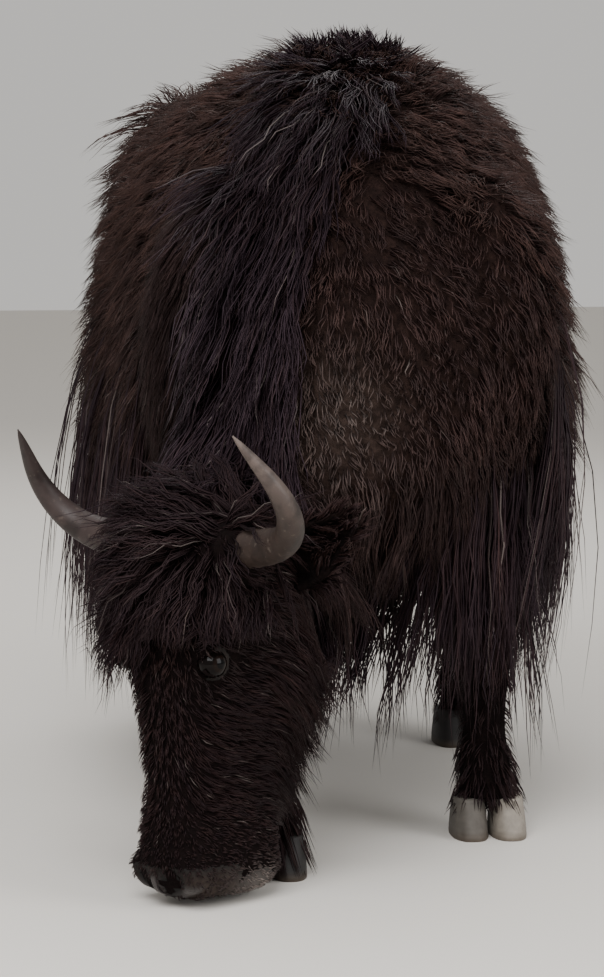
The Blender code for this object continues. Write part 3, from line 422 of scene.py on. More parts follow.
def neck_frame(i):
    """The crest point, the way to the head, the way up to the crest and the way to the animal's side."""
    first, second = NECK_ROWS[max(0, i - 1)], NECK_ROWS[min(len(NECK_ROWS) - 1, i + 1)]
    ahead = (Vector(second[:3]) - Vector(first[:3])).normalized()
    crestward = (UP - ahead * ahead.dot(UP)).normalized()
    return Vector(NECK_ROWS[i][:3]), ahead, crestward, ahead.cross(crestward).normalized()


def neck_sections():
    sections = []
    for i, (_, _, _, half, above, below) in enumerate(NECK_ROWS):
        crest, _, crestward, side = neck_frame(i)
        sections.append((crest - crestward * above, side, crestward, half, above, below, 2.1, 2.1))
    return sections


def skull_sections():
    sections = []
    for along, front, rear, half, power in smooth_rows(SKULL, 4):
        middle = front + (rear - front) * 0.42
        centre = head_point(0.0, middle, along)
        sections.append((centre, HEAD_OUT, HEAD_FORWARD, half, front - middle, middle - rear, power, power))
    return sections


def leg_rows(name):
    """Places, half widths and half depths down one leg, from inside the body to the coronet."""
    x, y = FEET[name]
    side = math.copysign(1.0, x)
    if name.startswith("fore"):
        elbow = -0.10 + 0.25 * (y + 0.13)
        knee = y + 0.3 * (elbow - y) - 0.012
        return (
            (side * 0.165, elbow, 0.600, 0.074, 0.104),
            (side * 0.170, elbow - 0.01, 0.500, 0.070, 0.092),
            (0.5 * (x + side * 0.172), 0.5 * (elbow + knee) - 0.01, 0.395, 0.060, 0.070),
            (x, knee, 0.300, 0.050, 0.056),
            (x, knee + 0.006, 0.262, 0.044, 0.049),
            (x, 0.5 * (knee + y) + 0.02, 0.180, 0.037, 0.042),
            (x, y + 0.022, 0.135, 0.038, 0.043),
            (x, y + 0.016, 0.105, 0.044, 0.048),
            (x, y + 0.002, 0.078, 0.044, 0.046),
            (x, y - 0.012, 0.048, 0.049, 0.053),
        )
    hip = TRUNK_SWAY * 0.75 + side * 0.165
    hock = y + 0.085
    stifle = 0.80 + 0.4 * (y - 0.80) - 0.07
    return (
        (hip, stifle + 0.01, 0.640, 0.085, 0.140),
        (0.7 * hip + 0.3 * x, stifle + 0.02, 0.540, 0.076, 0.120),
        (0.4 * hip + 0.6 * x, 0.5 * (stifle + hock), 0.455, 0.060, 0.088),
        (x, hock - 0.012, 0.385, 0.047, 0.064),
        (x, hock - 0.008, 0.340, 0.043, 0.056),
        (x, hock - 0.030, 0.250, 0.037, 0.044),
        (x, y + 0.035, 0.150, 0.037, 0.042),
        (x, y + 0.020, 0.105, 0.043, 0.047),
        (x, y + 0.004, 0.078, 0.043, 0.045),
        (x, y - 0.012, 0.048, 0.048, 0.052),
    )


TAIL_ROOT = vec(0.044, 0.985, 0.90)
TAIL_LENGTH = 0.44


def tail_path(count):
    points = []
    for share in np.linspace(0.0, 1.0, count):
        back = 0.125 * math.sin(math.pi * min(1.0, share * 0.9 + 0.02)) - 0.02
        points.append(TAIL_ROOT + vec(0.012 * share, back + 0.03 * share, -TAIL_LENGTH * share))
    return points


def body_forms():
    bm = bmesh.new()
    loft_into(bm, trunk_sections(), 40)
    loft_into(bm, neck_sections(), 32)
    loft_into(bm, skull_sections(), 32)
    slope = (ACROSS_WAY, vec(0, 0.94, 0.34), vec(0, -0.34, 0.94))
    back_slope = (ACROSS_WAY, vec(0, 0.94, -0.34), vec(0, 0.34, 0.94))
    bulges = (
        (-0.16, 0.170, 0.70, slope, (0.130, 0.17, 0.27)),
        (0.78, 0.170, 0.70, back_slope, (0.140, 0.19, 0.26)),
        (0.62, 0.222, 0.975, LEVEL_AXES, (0.080, 0.15, 0.090)),
    )
    for back, out, height, axes, sizes in bulges:
        for side in (1.0, -1.0):
            ball_into(bm, vec(TRUNK_SWAY * back + side * out, back, height), axes, sizes)
    for name in FEET:
        loft_into(bm, [(vec(x, y, z), ACROSS_WAY, BACK_WAY, wide, deep, deep, 2.1, 2.1)
                       for x, y, z, wide, deep in smooth_rows(leg_rows(name), 4)], 22)
    for i, place in enumerate(tail_path(10)):
        ball_into(bm, place, LEVEL_AXES, (0.046 - 0.002 * i,) * 3, 12, 8)
    return object_from(bm, "yak_skin")


# %% [markdown]
# ## The head
#
# The face shows more skin than any other place: the lids round the eye, the grey nose pad, the nostrils and
# the lips. The large forms are lofted and joined like the body. The nostrils and the line of the mouth are
# then pressed into the skin, as a thumb would press them into clay, so no hole or seam is left.

# %% Forms of the head
EYE_PLACE = (0.0845, -0.021, 0.150)
EYE_RADIUS = 0.0200
HORN_ROOT = (0.080, -0.060, 0.006)


def lid_line(side, upper):
    """Points along one eyelid's edge, from the front corner of the eye to the back one."""
    centre = beside(side, EYE_PLACE)
    points = []
    for t in np.linspace(-1.0, 1.0, 15):
        open_here = math.sqrt(1.0 - t * t)
        along = (-0.0176 if upper else 0.0182) * open_here + 0.002 * t
        depth = 0.002 + 0.0090 * open_here
        aside = HEAD_OUT * (side * depth)
        points.append(centre + aside - HEAD_FORWARD * (t * 0.0225) + HEAD_ALONG * along)
    return points


def head_forms():
    bm = bmesh.new()
    loft_into(bm, skull_sections(), 40)
    for side in (1.0, -1.0):
        for centre, radii in (
            ((0.070, -0.030, 0.126), (0.028, 0.038, 0.034)),
            ((0.064, -0.150, 0.160), (0.034, 0.075, 0.085)),
            ((0.040, -0.016, 0.427), (0.028, 0.036, 0.032)),
            ((0.100, -0.060, 0.004), (0.054, 0.052, 0.054)),
        ):
            ball_into(bm, beside(side, centre), HEAD_AXES, radii)
        rod_into(bm, lid_line(side, True), 0.0046)
        rod_into(bm, lid_line(side, False), 0.0040)
    for centre, radii in (
        ((0.0, 0.005, 0.434), (0.046, 0.018, 0.026)),
        ((0.0, -0.048, 0.448), (0.054, 0.042, 0.020)),
        ((0.0, -0.146, 0.430), (0.042, 0.040, 0.032)),
    ):
        ball_into(bm, head_point(*centre), HEAD_AXES, radii)
    return object_from(bm, "head_skin")


def in_head(points):
    """Positions as out to the left, forward and along the face, seen from the middle of the forehead."""
    shifted = points - np.array(HEAD_PLACE)
    return shifted @ np.array(HEAD_AXES).T


HEAD_MIDDLE = (0.0, -0.10, 0.20)


def from_head_middle(points):
    return np.linalg.norm(in_head(points) - HEAD_MIDDLE, axis=1)


def numbers_of(items, field, each=3, kind=float):
    """What every item of a mesh's list says of one field, in a row for each."""
    found = np.zeros(len(items) * each, kind)
    items.foreach_get(field, found)
    return found.reshape(-1, each) if each > 1 else found


def array_of(mesh):
    return numbers_of(mesh.vertices, "co")


def put_back(mesh, points):
    mesh.vertices.foreach_set("co", points.ravel())
    mesh.update()


def from_eye(out, forward, along):
    aside = np.abs(out) - EYE_PLACE[0]
    return np.sqrt(aside ** 2 + (forward - EYE_PLACE[1]) ** 2 + (along - EYE_PLACE[2]) ** 2)


def refine_features(obj):
    """Smaller, rounder faces where the nostrils, the lips and the lids are."""
    bm = bmesh.new()
    bm.from_mesh(obj.data)
    out, forward, along = in_head(array_of(obj.data)).T
    fine = (along > 0.400) | (from_eye(out, forward, along) < 0.036)
    edges = [edge for edge in bm.edges if all(fine[vert.index] for vert in edge.verts)]
    made = bmesh.ops.subdivide_edges(bm, edges=edges, cuts=1, use_grid_fill=True)
    inner = {item for item in made["geom_inner"] if isinstance(item, bmesh.types.BMVert)}
    inner |= {vert for edge in edges if edge.is_valid for vert in edge.verts}
    for _ in range(3):
        bmesh.ops.smooth_vert(bm, verts=list(inner), factor=0.5,
                              use_axis_x=True, use_axis_y=True, use_axis_z=True)
    bm.to_mesh(obj.data)
    bm.free()


# The way across a nostril's opening, as shares of the ways out and back
NOSTRIL_OUT, NOSTRIL_BACK = 0.656, 0.755


def nostril_shape(out, forward, along):
    """How much a place belongs to the opening of a nostril: a wide comma with its tail up and back."""
    across = NOSTRIL_OUT * (np.abs(out) - 0.017) - NOSTRIL_BACK * (forward - 0.015)
    down = along - 0.4485
    across = across + 0.42 * down
    apart = smoothstep((np.abs(out) - 0.004) / 0.006)
    return np.exp(-((across / 0.0230) ** 2 + (down / 0.0260) ** 2) ** 2) * (forward > -0.045) * apart


def chin_patch(out, forward, along):
    """The pale place under the mouth, on the left."""
    far = ((out - 0.045) / 0.036) ** 2 + ((forward + 0.112) / 0.038) ** 2 + ((along - 0.453) / 0.024) ** 2
    return np.exp(-far)


def mouth_line(forward, along):
    """How much a place belongs to the mouth's line, which runs up and back to its corner, and the line."""
    line = -0.040 - 0.98 * (0.468 - along)
    return np.exp(-((forward - line) / 0.0042) ** 2) * smoothstep((along - 0.404) / 0.012), line


def press_features(mesh):
    """Presses the nostrils and the mouth's line into the head's skin."""
    points = array_of(mesh)
    here = in_head(points)
    out, forward, along = here.T
    side = np.sign(out)
    moved = here.copy()
    hollow = nostril_shape(out, forward, along)
    moved[:, 0] -= side * 0.014 * hollow
    moved[:, 1] -= 0.013 * hollow
    groove, line = mouth_line(forward, along)
    reach = smoothstep((along - 0.408) / 0.012)
    inward = np.stack([-out, -0.05 - forward, 0.40 - along], axis=1)
    inward /= np.maximum(np.linalg.norm(inward, axis=1, keepdims=True), 1e-6)
    moved += inward * (0.0075 * groove)[:, None]
    # The lip swells a little before the line
    swell = np.exp(-((forward - line - 0.012) / 0.008) ** 2) * reach
    moved -= inward * (0.0018 * swell)[:, None]
    put_back(mesh, np.array(HEAD_PLACE) + moved @ np.array(HEAD_AXES))


EAR_ROOT = (0.098, -0.150, 0.035)
EAR_LENGTH = 0.130
EAR_WIDTH = 0.072


def ear_forms(side):
    """A leaf with its hollow turned forward and down, as a thin closed shell."""
    root = beside(side, EAR_ROOT)
    ahead = head_direction(side * 0.72, -0.30, -0.58)
    hollow = HEAD_FORWARD * 0.75 + HEAD_ALONG * 0.55
    hollow = (hollow - ahead * hollow.dot(ahead)).normalized()
    across = ahead.cross(hollow).normalized()
    bm = bmesh.new()
    rows, columns = 22, 14
    bmesh.ops.create_grid(bm, x_segments=rows, y_segments=columns, size=1.0)
    for vert in bm.verts:
        share = 0.5 + 0.5 * vert.co.x
        width = 0.42 + 0.58 * math.sin(math.pi * min(1.0, 0.12 + share * 0.95) ** 0.85)
        half = 0.5 * EAR_WIDTH * max(0.12, width)
        reach = (1.25 - 0.75 * share) * 1.35
        angle = vert.co.y * reach
        radius = half / math.sin(min(reach, math.pi / 2))
        place = root + ahead * (EAR_LENGTH * share - 0.02) + across * (radius * math.sin(angle))
        vert.co = place - hollow * (radius * (math.cos(angle) - math.cos(reach)))
    leaf = object_from(bm, "ear_skin")
    modifier = leaf.modifiers.new("thickness", "SOLIDIFY")
    modifier.thickness = 0.0075
    modifier.offset = 0.0
    return settle(leaf), np.array(ahead)


# %% Move the skin inwards by the depth of the coat
def coat_depth(points):
    """How deep the coat is at each place: least on the muzzle and the feet, most on the trunk."""
    out, forward, along = in_head(points).T
    on_head = smoothstep((0.30 - from_head_middle(points)) / 0.06)
    face = 0.010 - 0.009 * smoothstep((along - 0.30) / 0.09)
    face = face * (1.0 - 0.85 * np.exp(-(from_eye(out, forward, along) / 0.042) ** 2))
    leg = 0.006 + 0.016 * smoothstep((points[:, 2] - 0.24) / 0.20)
    return face * on_head + np.minimum(leg, 0.022) * (1.0 - on_head)


def normals_of(mesh):
    return numbers_of(mesh.vertex_normals, "vector")


def draw_in(mesh):
    points = array_of(mesh)
    put_back(mesh, points - normals_of(mesh) * coat_depth(points)[:, None])


def weld(obj, other):
    """Joins another closed form to an object, and removes what is left of it."""
    modifier = obj.modifiers.new("weld", "BOOLEAN")
    modifier.object = other
    modifier.operation = "UNION"
    modifier.solver = "MANIFOLD"
    settle(obj)
    bpy.data.objects.remove(other)


# %% One skin
BODY_VOXEL = 0.0112
HEAD_VOXEL = 0.0039
skin = one_skin(body_forms(), BODY_VOXEL, 3)
draw_in(skin.data)
head = one_skin(head_forms(), HEAD_VOXEL, 2)
refine_features(head)
draw_in(head.data)
press_features(head.data)
ears = {}
for side in (1.0, -1.0):
    leaf, ears[side] = ear_forms(side)
    weld(skin, leaf)
weld(skin, head)
skin.data.polygons.foreach_set("use_smooth", [True] * len(skin.data.polygons))
skin.data.calc_loop_triangles()
print("skin", len(skin.data.loop_triangles), "triangles")

# %% [markdown]
# ## The colour of the bare skin
#
# Most of the skin only shows as darkness between the strands. The nose pad, the lips and the lids are bare:
# slate grey and damp on the pad, brown-grey on the upper lip, and pale on the chin. Inside the nostrils and
# along the line of the mouth the skin is near black, as painted shade in the openings. The places are kept in
# a colour attribute, so the material has no need of a picture.

# %% Skin materials
def felt_material():
    """The short dark wool under the coat, seen only between the strands; partly its own dark colour, partly
    painted shade deep in the coat.
    """
    finish = Finish("under_wool")
    fuzz = finish.noise(240.0, 6.0)
    black = finish.mix(fuzz, (0.0018, 0.0011, 0.0012), (0.0080, 0.0046, 0.0044))
    brown = finish.mix(fuzz, (0.0040, 0.0022, 0.0020), (0.0230, 0.0125, 0.0104))
    woolly, rubbed, _ = finish.attribute("wool")
    colour = finish.mix(rubbed, finish.mix(woolly, black, brown), (0.052, 0.036, 0.030))
    # Painted shade: noise patches darken the under-wool further, as in the gaps between tufts
    gap_shade = finish.ranged(finish.noise(70.0), 0.40, 0.60, 0.5, 0.0)
    return finish.done({
        "Base Color": finish.mix(gap_shade, colour, (0.0022, 0.0015, 0.0015)),
        "Normal": finish.bump(fuzz, 0.9, 0.003),
        "Roughness": 1.0,
        "Specular IOR Level": 0.05,
    })


def skin_material():
    """Bare skin: pebbled and damp on the nose pad, duller and downy on the lips and lids."""
    finish = Finish("bare_skin")
    pad, lip, pale = finish.attribute("bare")
    cells = finish.feed(finish.new("TexVoronoi"), {"Scale": 380.0, "Vector": finish.place()})["Distance"]
    fuzz = finish.noise(260.0, 5.0)
    grey = finish.mix(finish.noise(60.0), (0.022, 0.0185, 0.0185), (0.056, 0.047, 0.046))
    brown = finish.mix(fuzz, (0.006, 0.0042, 0.0036), (0.040, 0.026, 0.020))
    # Where neither pad nor lip, in the nostrils and along the mouth's line, the colour is near black: painted
    # shade
    colour = finish.mix(pad, finish.mix(lip, (0.0020, 0.0015, 0.0015), brown), grey)
    return finish.done({
        "Base Color": finish.mix(pale, colour, (0.22, 0.19, 0.175)),
        "Roughness": finish.ranged(pad, 0.0, 1.0, 0.75, 0.36),
        "Normal": finish.bump(finish.mix(pad, fuzz, cells), 0.6, 0.0012),
        "Specular IOR Level": 0.20,
    })


# %% Where the skin is bare, woolly or rubbed
def bare_places(points):
    """How much each place belongs to the nose pad, to the lips and lids, and to the pale chin."""
    out, forward, along = in_head(points).T
    pad = smoothstep((along - 0.424 - 0.22 * np.abs(out)) / 0.014) * smoothstep((forward + 0.022) / 0.012)
    lip = smoothstep((along - 0.410) / 0.036) * smoothstep((forward + 0.086) / 0.024) * (1.0 - pad)
    lids = np.exp(-((from_eye(out, forward, along) - 0.021) / 0.0035) ** 2)
    lids = lids * (0.25 + 0.75 * smoothstep((EYE_PLACE[1] - forward + 0.004) / 0.016))
    # Inside the nostrils and along the mouth's line every bare share falls to nothing, which leaves painted
    # shade there
    open_skin = 1.0 - np.clip(2.0 * nostril_shape(out, forward, along), 0.0, 1.0)
    open_skin = open_skin * (1.0 - mouth_line(forward, along)[0])
    chin = chin_patch(out, forward, along)
    return np.stack([pad, np.maximum(lip, 0.45 * lids), 0.35 * chin], axis=1) * open_skin[:, None]


def paint(mesh, name, values):
    """Keeps one colour for each point of a mesh."""
    layer = mesh.color_attributes.new(name, "FLOAT_COLOR", "POINT")
    colours = np.ones((len(mesh.vertices), 4), np.float32)
    colours[:, :values.shape[1]] = values
    layer.data.foreach_set("color", colours.ravel())


RUBBED_PLACE = (-0.055, -0.33, 0.63)
RUBBED_SIZE = (0.075, 0.22, 0.085)
BARE_FROM = 0.12
HOLLOW_FROM = 0.50


def rubbed_patch(points):
    """The place on the left of the neck where the coat is worn short and brown."""
    return np.exp(-(((points - RUBBED_PLACE) / RUBBED_SIZE) ** 2).sum(axis=1))


skin_points = array_of(skin.data)
bare = bare_places(skin_points)
paint(skin.data, "bare", bare)
woolly = smoothstep((from_head_middle(skin_points) - 0.27) / 0.06)
woolly = woolly * smoothstep((skin_points[:, 2] - 0.35) / 0.15)
paint(skin.data, "wool", np.stack([woolly, 0.8 * rubbed_patch(skin_points)], axis=1))
skin.data.materials.clear()
skin.data.materials.append(felt_material())
skin.data.materials.append(skin_material())
hollow = nostril_shape(*in_head(skin_points).T)
# The middle of each nostril and the mouth's line keep the near-black under-wool finish, as painted shade in the
# openings
bareness = np.where(hollow > HOLLOW_FROM, 0.0, np.maximum(bare.max(axis=1), hollow))
corner_of = numbers_of(skin.data.loops, "vertex_index", 1, int)
first_corner = corner_of[numbers_of(skin.data.polygons, "loop_start", 1, int)]
is_bare = (bareness[first_corner] > BARE_FROM).astype(int)
skin.data.polygons.foreach_set("material_index", is_bare)
print("bare faces", int(is_bare.sum()))

# %% [markdown]
# ## How the hair grows
#
# A coat lies in locks, not in single hairs: neighbours lean together and bend the same way. So some sixteen
# thousand guides are grown first. Each leaves the skin along the lie of the coat, bends under its weight
# and is kept outside the body. The strands then copy the nearest guide, drawn towards it at their tips.
# A strand is a three-sided tube with a point, which keeps the coat solid mesh.

# %% Places on the skin
DOWN = np.array((0.0, 0.0, -1.0))


def unit(vectors):
    return vectors / np.maximum(np.linalg.norm(vectors, axis=-1, keepdims=True), 1e-9)


skin.data.calc_loop_triangles()
CORNERS, CORNER_NORMALS = array_of(skin.data), normals_of(skin.data)
TRIANGLES = numbers_of(skin.data.loop_triangles, "vertices", 3, int)
TREE = BVHTree.FromPolygons(CORNERS.tolist(), TRIANGLES.tolist())
FACE_MIDDLES = CORNERS[TRIANGLES].mean(axis=1)
FACE_OUT, FACE_FORWARD, FACE_ALONG = in_head(FACE_MIDDLES).T
BACK, HEIGHT = FACE_MIDDLES[:, 1], FACE_MIDDLES[:, 2]
ACROSS = FACE_MIDDLES[:, 0] - TRUNK_SWAY * BACK
EDGE_ONE = CORNERS[TRIANGLES[:, 1]] - CORNERS[TRIANGLES[:, 0]]
EDGE_TWO = CORNERS[TRIANGLES[:, 2]] - CORNERS[TRIANGLES[:, 0]]
FACE_CROSS = np.cross(EDGE_ONE, EDGE_TWO)
FACE_AREAS = 0.5 * np.linalg.norm(FACE_CROSS, axis=1)
FACE_NORMALS = unit(FACE_CROSS)
print("area of the skin", round(float(FACE_AREAS.sum()), 2), "square metres")


def scatter(count, weights):
    """Random places on the skin, more of them where the weight is high, with the skin's facing there."""
    chances = FACE_AREAS * weights
    picked = RNG.choice(len(FACE_AREAS), size=count, p=chances / chances.sum())
    a, b = RNG.random((2, count))
    over = a + b > 1.0
    a[over], b[over] = 1.0 - a[over], 1.0 - b[over]
    shares = np.stack([1.0 - a - b, a, b], axis=1)[:, :, None]
    corners = TRIANGLES[picked]
    return (CORNERS[corners] * shares).sum(axis=1), unit((CORNER_NORMALS[corners] * shares).sum(axis=1))


def kept_outside(points, clear):
    """Moves points that are too deep out to the clearance above the skin."""
    moved = points.copy()
    for i, point in enumerate(points):
        near, facing, _, _ = TREE.find_nearest(point)
        short = clear[i] - (Vector(point) - near).dot(facing)
        if short > 0.0:
            moved[i] += np.array(facing) * short
    return moved


# %% [markdown]
# Neighbouring locks agree on where they lean, and the lean changes slowly over the body. A sum of a few
# slow waves in random directions gives such a field. It turns the lie of the coat and varies its length.

# %% A slowly changing lean
def spread(low, high, count):
    return RNG.uniform(low, high, count)


def drift(points, size):
    """Three numbers for each place that are alike for neighbours: they change over a few sizes."""
    waves = RNG.normal(0.0, 1.0 / size, (16, 3))
    ways = RNG.normal(0.0, 0.35, (16, 3))
    return np.sin(points @ waves.T + spread(0.0, 2.0 * math.pi, 16)) @ ways


def tangled(lie, points, amount, size=0.018):
    """The lie of the coat, leaning with its neighbours, and turned a little from lock to lock."""
    shared = 0.6 * amount * drift(points, size)
    return unit(unit(lie) + shared + 0.6 * amount * RNG.normal(0.0, 1.0, lie.shape))


def patchy_length(points, length, amount, size=0.03):
    return length * np.clip(1.0 + amount * drift(points, size)[:, 0], 0.55, 1.6)


# %% Guides
def grow_guides(roots, facings, lie, length, lift, sag, steps, clear, fall=DOWN):
    """The lines that locks follow, bending towards the fall. All but the steps is given for each guide."""
    along = unit(lie - facings * (lie * facings).sum(axis=1, keepdims=True))
    heading = unit(along * np.cos(lift)[:, None] + facings * np.sin(lift)[:, None])
    here = roots.copy()
    path = [here]
    for j in range(steps):
        share = (j + 1) / steps
        pull = (sag * (0.35 + 0.65 * share))[:, None]
        heading = unit(heading * (1.0 - pull) + fall * pull)
        ahead = kept_outside(here + heading * (length / steps)[:, None], clear * min(1.0, 2.5 * share))
        heading = unit(0.5 * heading + 0.5 * unit(ahead - here))
        here = ahead
        path.append(here)
    return np.stack(path, axis=1)


# %% Strands round the guides
MARGIN = 0.022
LOWEST = np.array(SOLID_BOX[0]) - np.array(HUMP_FOOT) - MARGIN
HIGHEST = np.array(SOLID_BOX[1]) - np.array(HUMP_FOOT) + MARGIN
LOWEST[2] = 0.004


def nearest_guides(places, guide_roots):
    tree = KDTree(len(guide_roots))
    for i, root in enumerate(guide_roots):
        tree.insert(root, i)
    tree.balance()
    return np.array([tree.find(place)[1] for place in places])


def held_in_box(strands):
    """Shortens strands that would reach the floor or pass the size of the solids."""
    roots = strands[:, :1]
    reach = strands - roots
    room = np.where(reach > 0.0, HIGHEST - roots, roots - LOWEST)
    share = np.maximum(room, 0.0) / np.maximum(np.abs(reach), 1e-6)
    kept = np.clip(share.min(axis=(1, 2)), 0.1, 1.0)
    return roots + reach * kept[:, None, None]


GOLDEN_ANGLE = 2.399963


def comb_strands(roots, facings, paths, guide, look):
    """Strands that copy their guide, drawn together towards the tip, with waves shared by the lock."""
    count, points = len(roots), paths.shape[1]
    t = np.linspace(0.0, 1.0, points)[None, :, None]
    lines = paths[guide]
    own = np.clip(RNG.normal(0.0, 1.0, (count, 1, 1)), -1.6, 1.6)
    length = 1.0 + look["uneven"] * own
    copied = roots[:, None, :] + (lines - lines[:, :1]) * length
    drawn = lines[:, :1] + (lines - lines[:, :1]) * length
    pull = look["clump"] * t ** 0.8
    strands = copied * (1.0 - pull) + drawn * pull
    ahead = unit(np.gradient(lines, axis=1))
    side = unit(np.cross(ahead, facings[:, None, :]))
    rise = np.cross(side, ahead)
    reach = np.linalg.norm(lines[:, -1] - lines[:, 0], axis=1)
    lock_phase = (guide * GOLDEN_ANGLE % (2.0 * math.pi))[:, None, None]
    phase = lock_phase + RNG.normal(0.0, look["stray"], (count, 1, 1))
    turns = (reach / look["wave_length"])[:, None, None] * 2.0 * math.pi
    swing = look["wave"] * RNG.uniform(0.6, 1.3, (count, 1, 1)) * np.minimum(1.0, 2.5 * t)
    strands = strands + side * swing * (np.sin(phase + turns * t) - np.sin(phase))
    strands = strands + rise * swing * 0.7 * (np.cos(phase + turns * t) - np.cos(phase)) * look["curl"]
    splay = np.clip(RNG.normal(0.0, 1.0, (count, 1, 2)), -1.8, 1.8) * look["splay"] * t ** 1.5
    strands = strands + side * splay[:, :, :1] + rise * np.abs(splay[:, :, 1:])
    strands = held_in_box(strands)
    strands[:, 0] = roots - facings * look["buried"]
    return strands


# %% A mesh of many strands
def strand_faces(rings):
    """The triangles of one closed strand: its root, its three sides and its point."""
    faces = [(0, 2, 1)]
    for j in range(rings - 1):
        for k in range(3):
            a, b = 3 * j + k, 3 * j + (k + 1) % 3
            faces += [(a, b, b + 3), (a, b + 3, a + 3)]
    tip = 3 * rings
    for k in range(3):
        faces.append((3 * (rings - 1) + k, 3 * (rings - 1) + (k + 1) % 3, tip))
    return np.array(faces)


PATCH = 0.003


def strand_mesh(name, strands, facings, widths, tints, chart, material):
    """One coat piece: all its strands in one mesh, with their colours and their places on the chart."""
    count, points = strands.shape[:2]
    rings = points - 1
    ahead = unit(np.gradient(strands, axis=1))[:, :rings]
    side = unit(np.cross(ahead, facings[:, None, :]))
    rise = np.cross(side, ahead)
    t = np.linspace(0.0, 1.0, points)[:rings]
    taper = (np.clip(0.62 + 1.6 * t, 0.0, 1.0) * (1.0 - t ** 2.2) ** 0.75)[None, :, None]
    half = widths[:, None, None] * 0.5 * taper
    middle = strands[:, :rings]
    loops = np.stack([middle + side * half, middle - side * half, middle + rise * half * 0.9], axis=2)
    corners = np.concatenate([loops.reshape(count, rings * 3, 3), strands[:, -1:]], axis=1)
    faces = strand_faces(rings)
    first = corners[0]
    a, b, c = (first[faces[:, k]] for k in range(3))
    if np.einsum("ij,ij->i", a, np.cross(b, c)).sum() < 0.0:
        # A strand whose volume comes out negative is inside out
        faces = faces[:, ::-1]
    each = rings * 3 + 1
    all_faces = (faces[None] + (np.arange(count) * each)[:, None, None]).reshape(-1, 3)
    mesh = bpy.data.meshes.new(name)
    mesh.vertices.add(count * each)
    mesh.vertices.foreach_set("co", (corners + np.array(HUMP_FOOT)).reshape(-1))
    mesh.loops.add(all_faces.size)
    mesh.loops.foreach_set("vertex_index", all_faces.reshape(-1).astype(np.int32))
    mesh.polygons.add(len(all_faces))
    mesh.polygons.foreach_set("loop_start", np.arange(0, all_faces.size, 3, dtype=np.int32))
    mesh.polygons.foreach_set("use_smooth", np.ones(len(all_faces), bool))
    mesh.update(calc_edges=True)
    ring_of = np.append(np.repeat(np.arange(rings), 3), rings) / rings
    side_of = np.append(np.tile(np.arange(3), rings), 1) / 2.0
    local = np.stack([side_of, ring_of], axis=1) * PATCH - PATCH / 2
    spots = (chart[:, None, :] * (1.0 - PATCH) + PATCH / 2 + local[None]).reshape(-1, 2)
    layer = mesh.uv_layers.new(name="OFBake")
    layer.data.foreach_set("uv", spots[all_faces.reshape(-1)].reshape(-1))
    shades = np.repeat(tints, each, axis=0)
    paint(mesh, "hair", np.concatenate([shades, np.tile(ring_of, count)[:, None]], axis=1))
    mesh.materials.append(material)
    piece = bpy.data.objects.new(name, mesh)
    bpy.context.scene.collection.objects.link(piece)
    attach(piece, "root")
    print(name, count, "strands,", len(all_faces), "triangles")


# %% [markdown]
# ## The colour of the hair
#
# The wool on the shoulders and back is a warm brown-black. The long hair of the mane, skirt and face is
# blacker, with single strands bleached to grey. The attribute says how brown and how bleached a strand is,
# and how far along it a point lies, since sun fades the tips. Towards the root, and in noise patches, the hair
# is darkened as painted shade inside the coat. Black hair shines less than it seems, and its shine is tinted
# by what the light has passed through, so the highlight is kept low and brownish.

# %% Hair material
def hair_material(name, shine, shine_colour, depth, shade_patches):
    finish = Finish(name)
    brown, pale, along = finish.attribute("hair")
    patchy = finish.ranged(finish.noise(9.0, 4.0), 0.35, 0.65, 0.0, 1.0)
    warm = finish.mix(patchy, (0.0130, 0.0062, 0.0056), (0.0370, 0.0188, 0.0156))
    black = finish.mix(patchy, (0.0042, 0.0026, 0.0034), (0.0080, 0.0050, 0.0060))
    colour = finish.mix(brown, black, warm)
    faded = finish.mix(brown, (0.0210, 0.0145, 0.0190), (0.0580, 0.0340, 0.0268))
    for strength, other in (
        (finish.ranged(along, 0.35, 1.0, 0.0, 0.5), faded),
        (pale, (0.36, 0.31, 0.28)),
        # Painted shade: strands darken towards the root, by the share given as depth, for the shade inside the
        # coat
        (finish.ranged(along, 0.0, 0.4, depth, 0.0), (0.0030, 0.0020, 0.0020)),
        # Painted shade: noise patches darken the hair, as the shade between tufts
        (finish.ranged(finish.noise(40.0, 2.0), 0.38, 0.60, shade_patches, 0.0), (0.0040, 0.0026, 0.0028)),
    ):
        colour = finish.mix(strength, colour, other)
    return finish.done({
        "Base Color": colour,
        "Roughness": 0.50,
        "Specular IOR Level": shine,
        "Specular Tint": shine_colour,
    })


# The last two numbers of each kind: how much painted shade darkens the roots, and how much the noise patches
HAIR = {
    "wool": hair_material("wool_hair", 0.25, (1.0, 0.68, 0.64), 0.50, 0.62),
    "long_hair": hair_material("guard_hair", 0.21, (1.0, 0.69, 0.86), 0.40, 0.0),
    "face_hair": hair_material("face_hair", 0.14, (1.0, 0.68, 0.70), 0.30, 0.2),
}

# %% [markdown]
# ## Where each kind of hair grows
#
# The regions are masks over the skin, worked out from where a place lies on the head, along the crest of the
# neck and on the trunk. Each region then states its length, its lie and its curl.

# %% Masks for the regions
CREST = NECK_ROWS[:, :3]
NECK_FRAMES = np.array([[list(way) for way in neck_frame(i)] for i in range(len(NECK_ROWS))])


def on_neck(points):
    """For each place: its share of the way to the head, its offsets to the animal's right and below the
    crest, and the three ways of the nearest crest row."""
    row = np.linalg.norm(points[:, None, :] - CREST[None], axis=2).argmin(axis=1)
    ahead, crestward, side = (NECK_FRAMES[row, k] for k in (1, 2, 3))
    offset = points - NECK_FRAMES[row, 0]
    aside = (offset * side).sum(axis=1)
    below = -(offset * crestward).sum(axis=1)
    return row / (len(CREST) - 1), aside, below, ahead, crestward, side


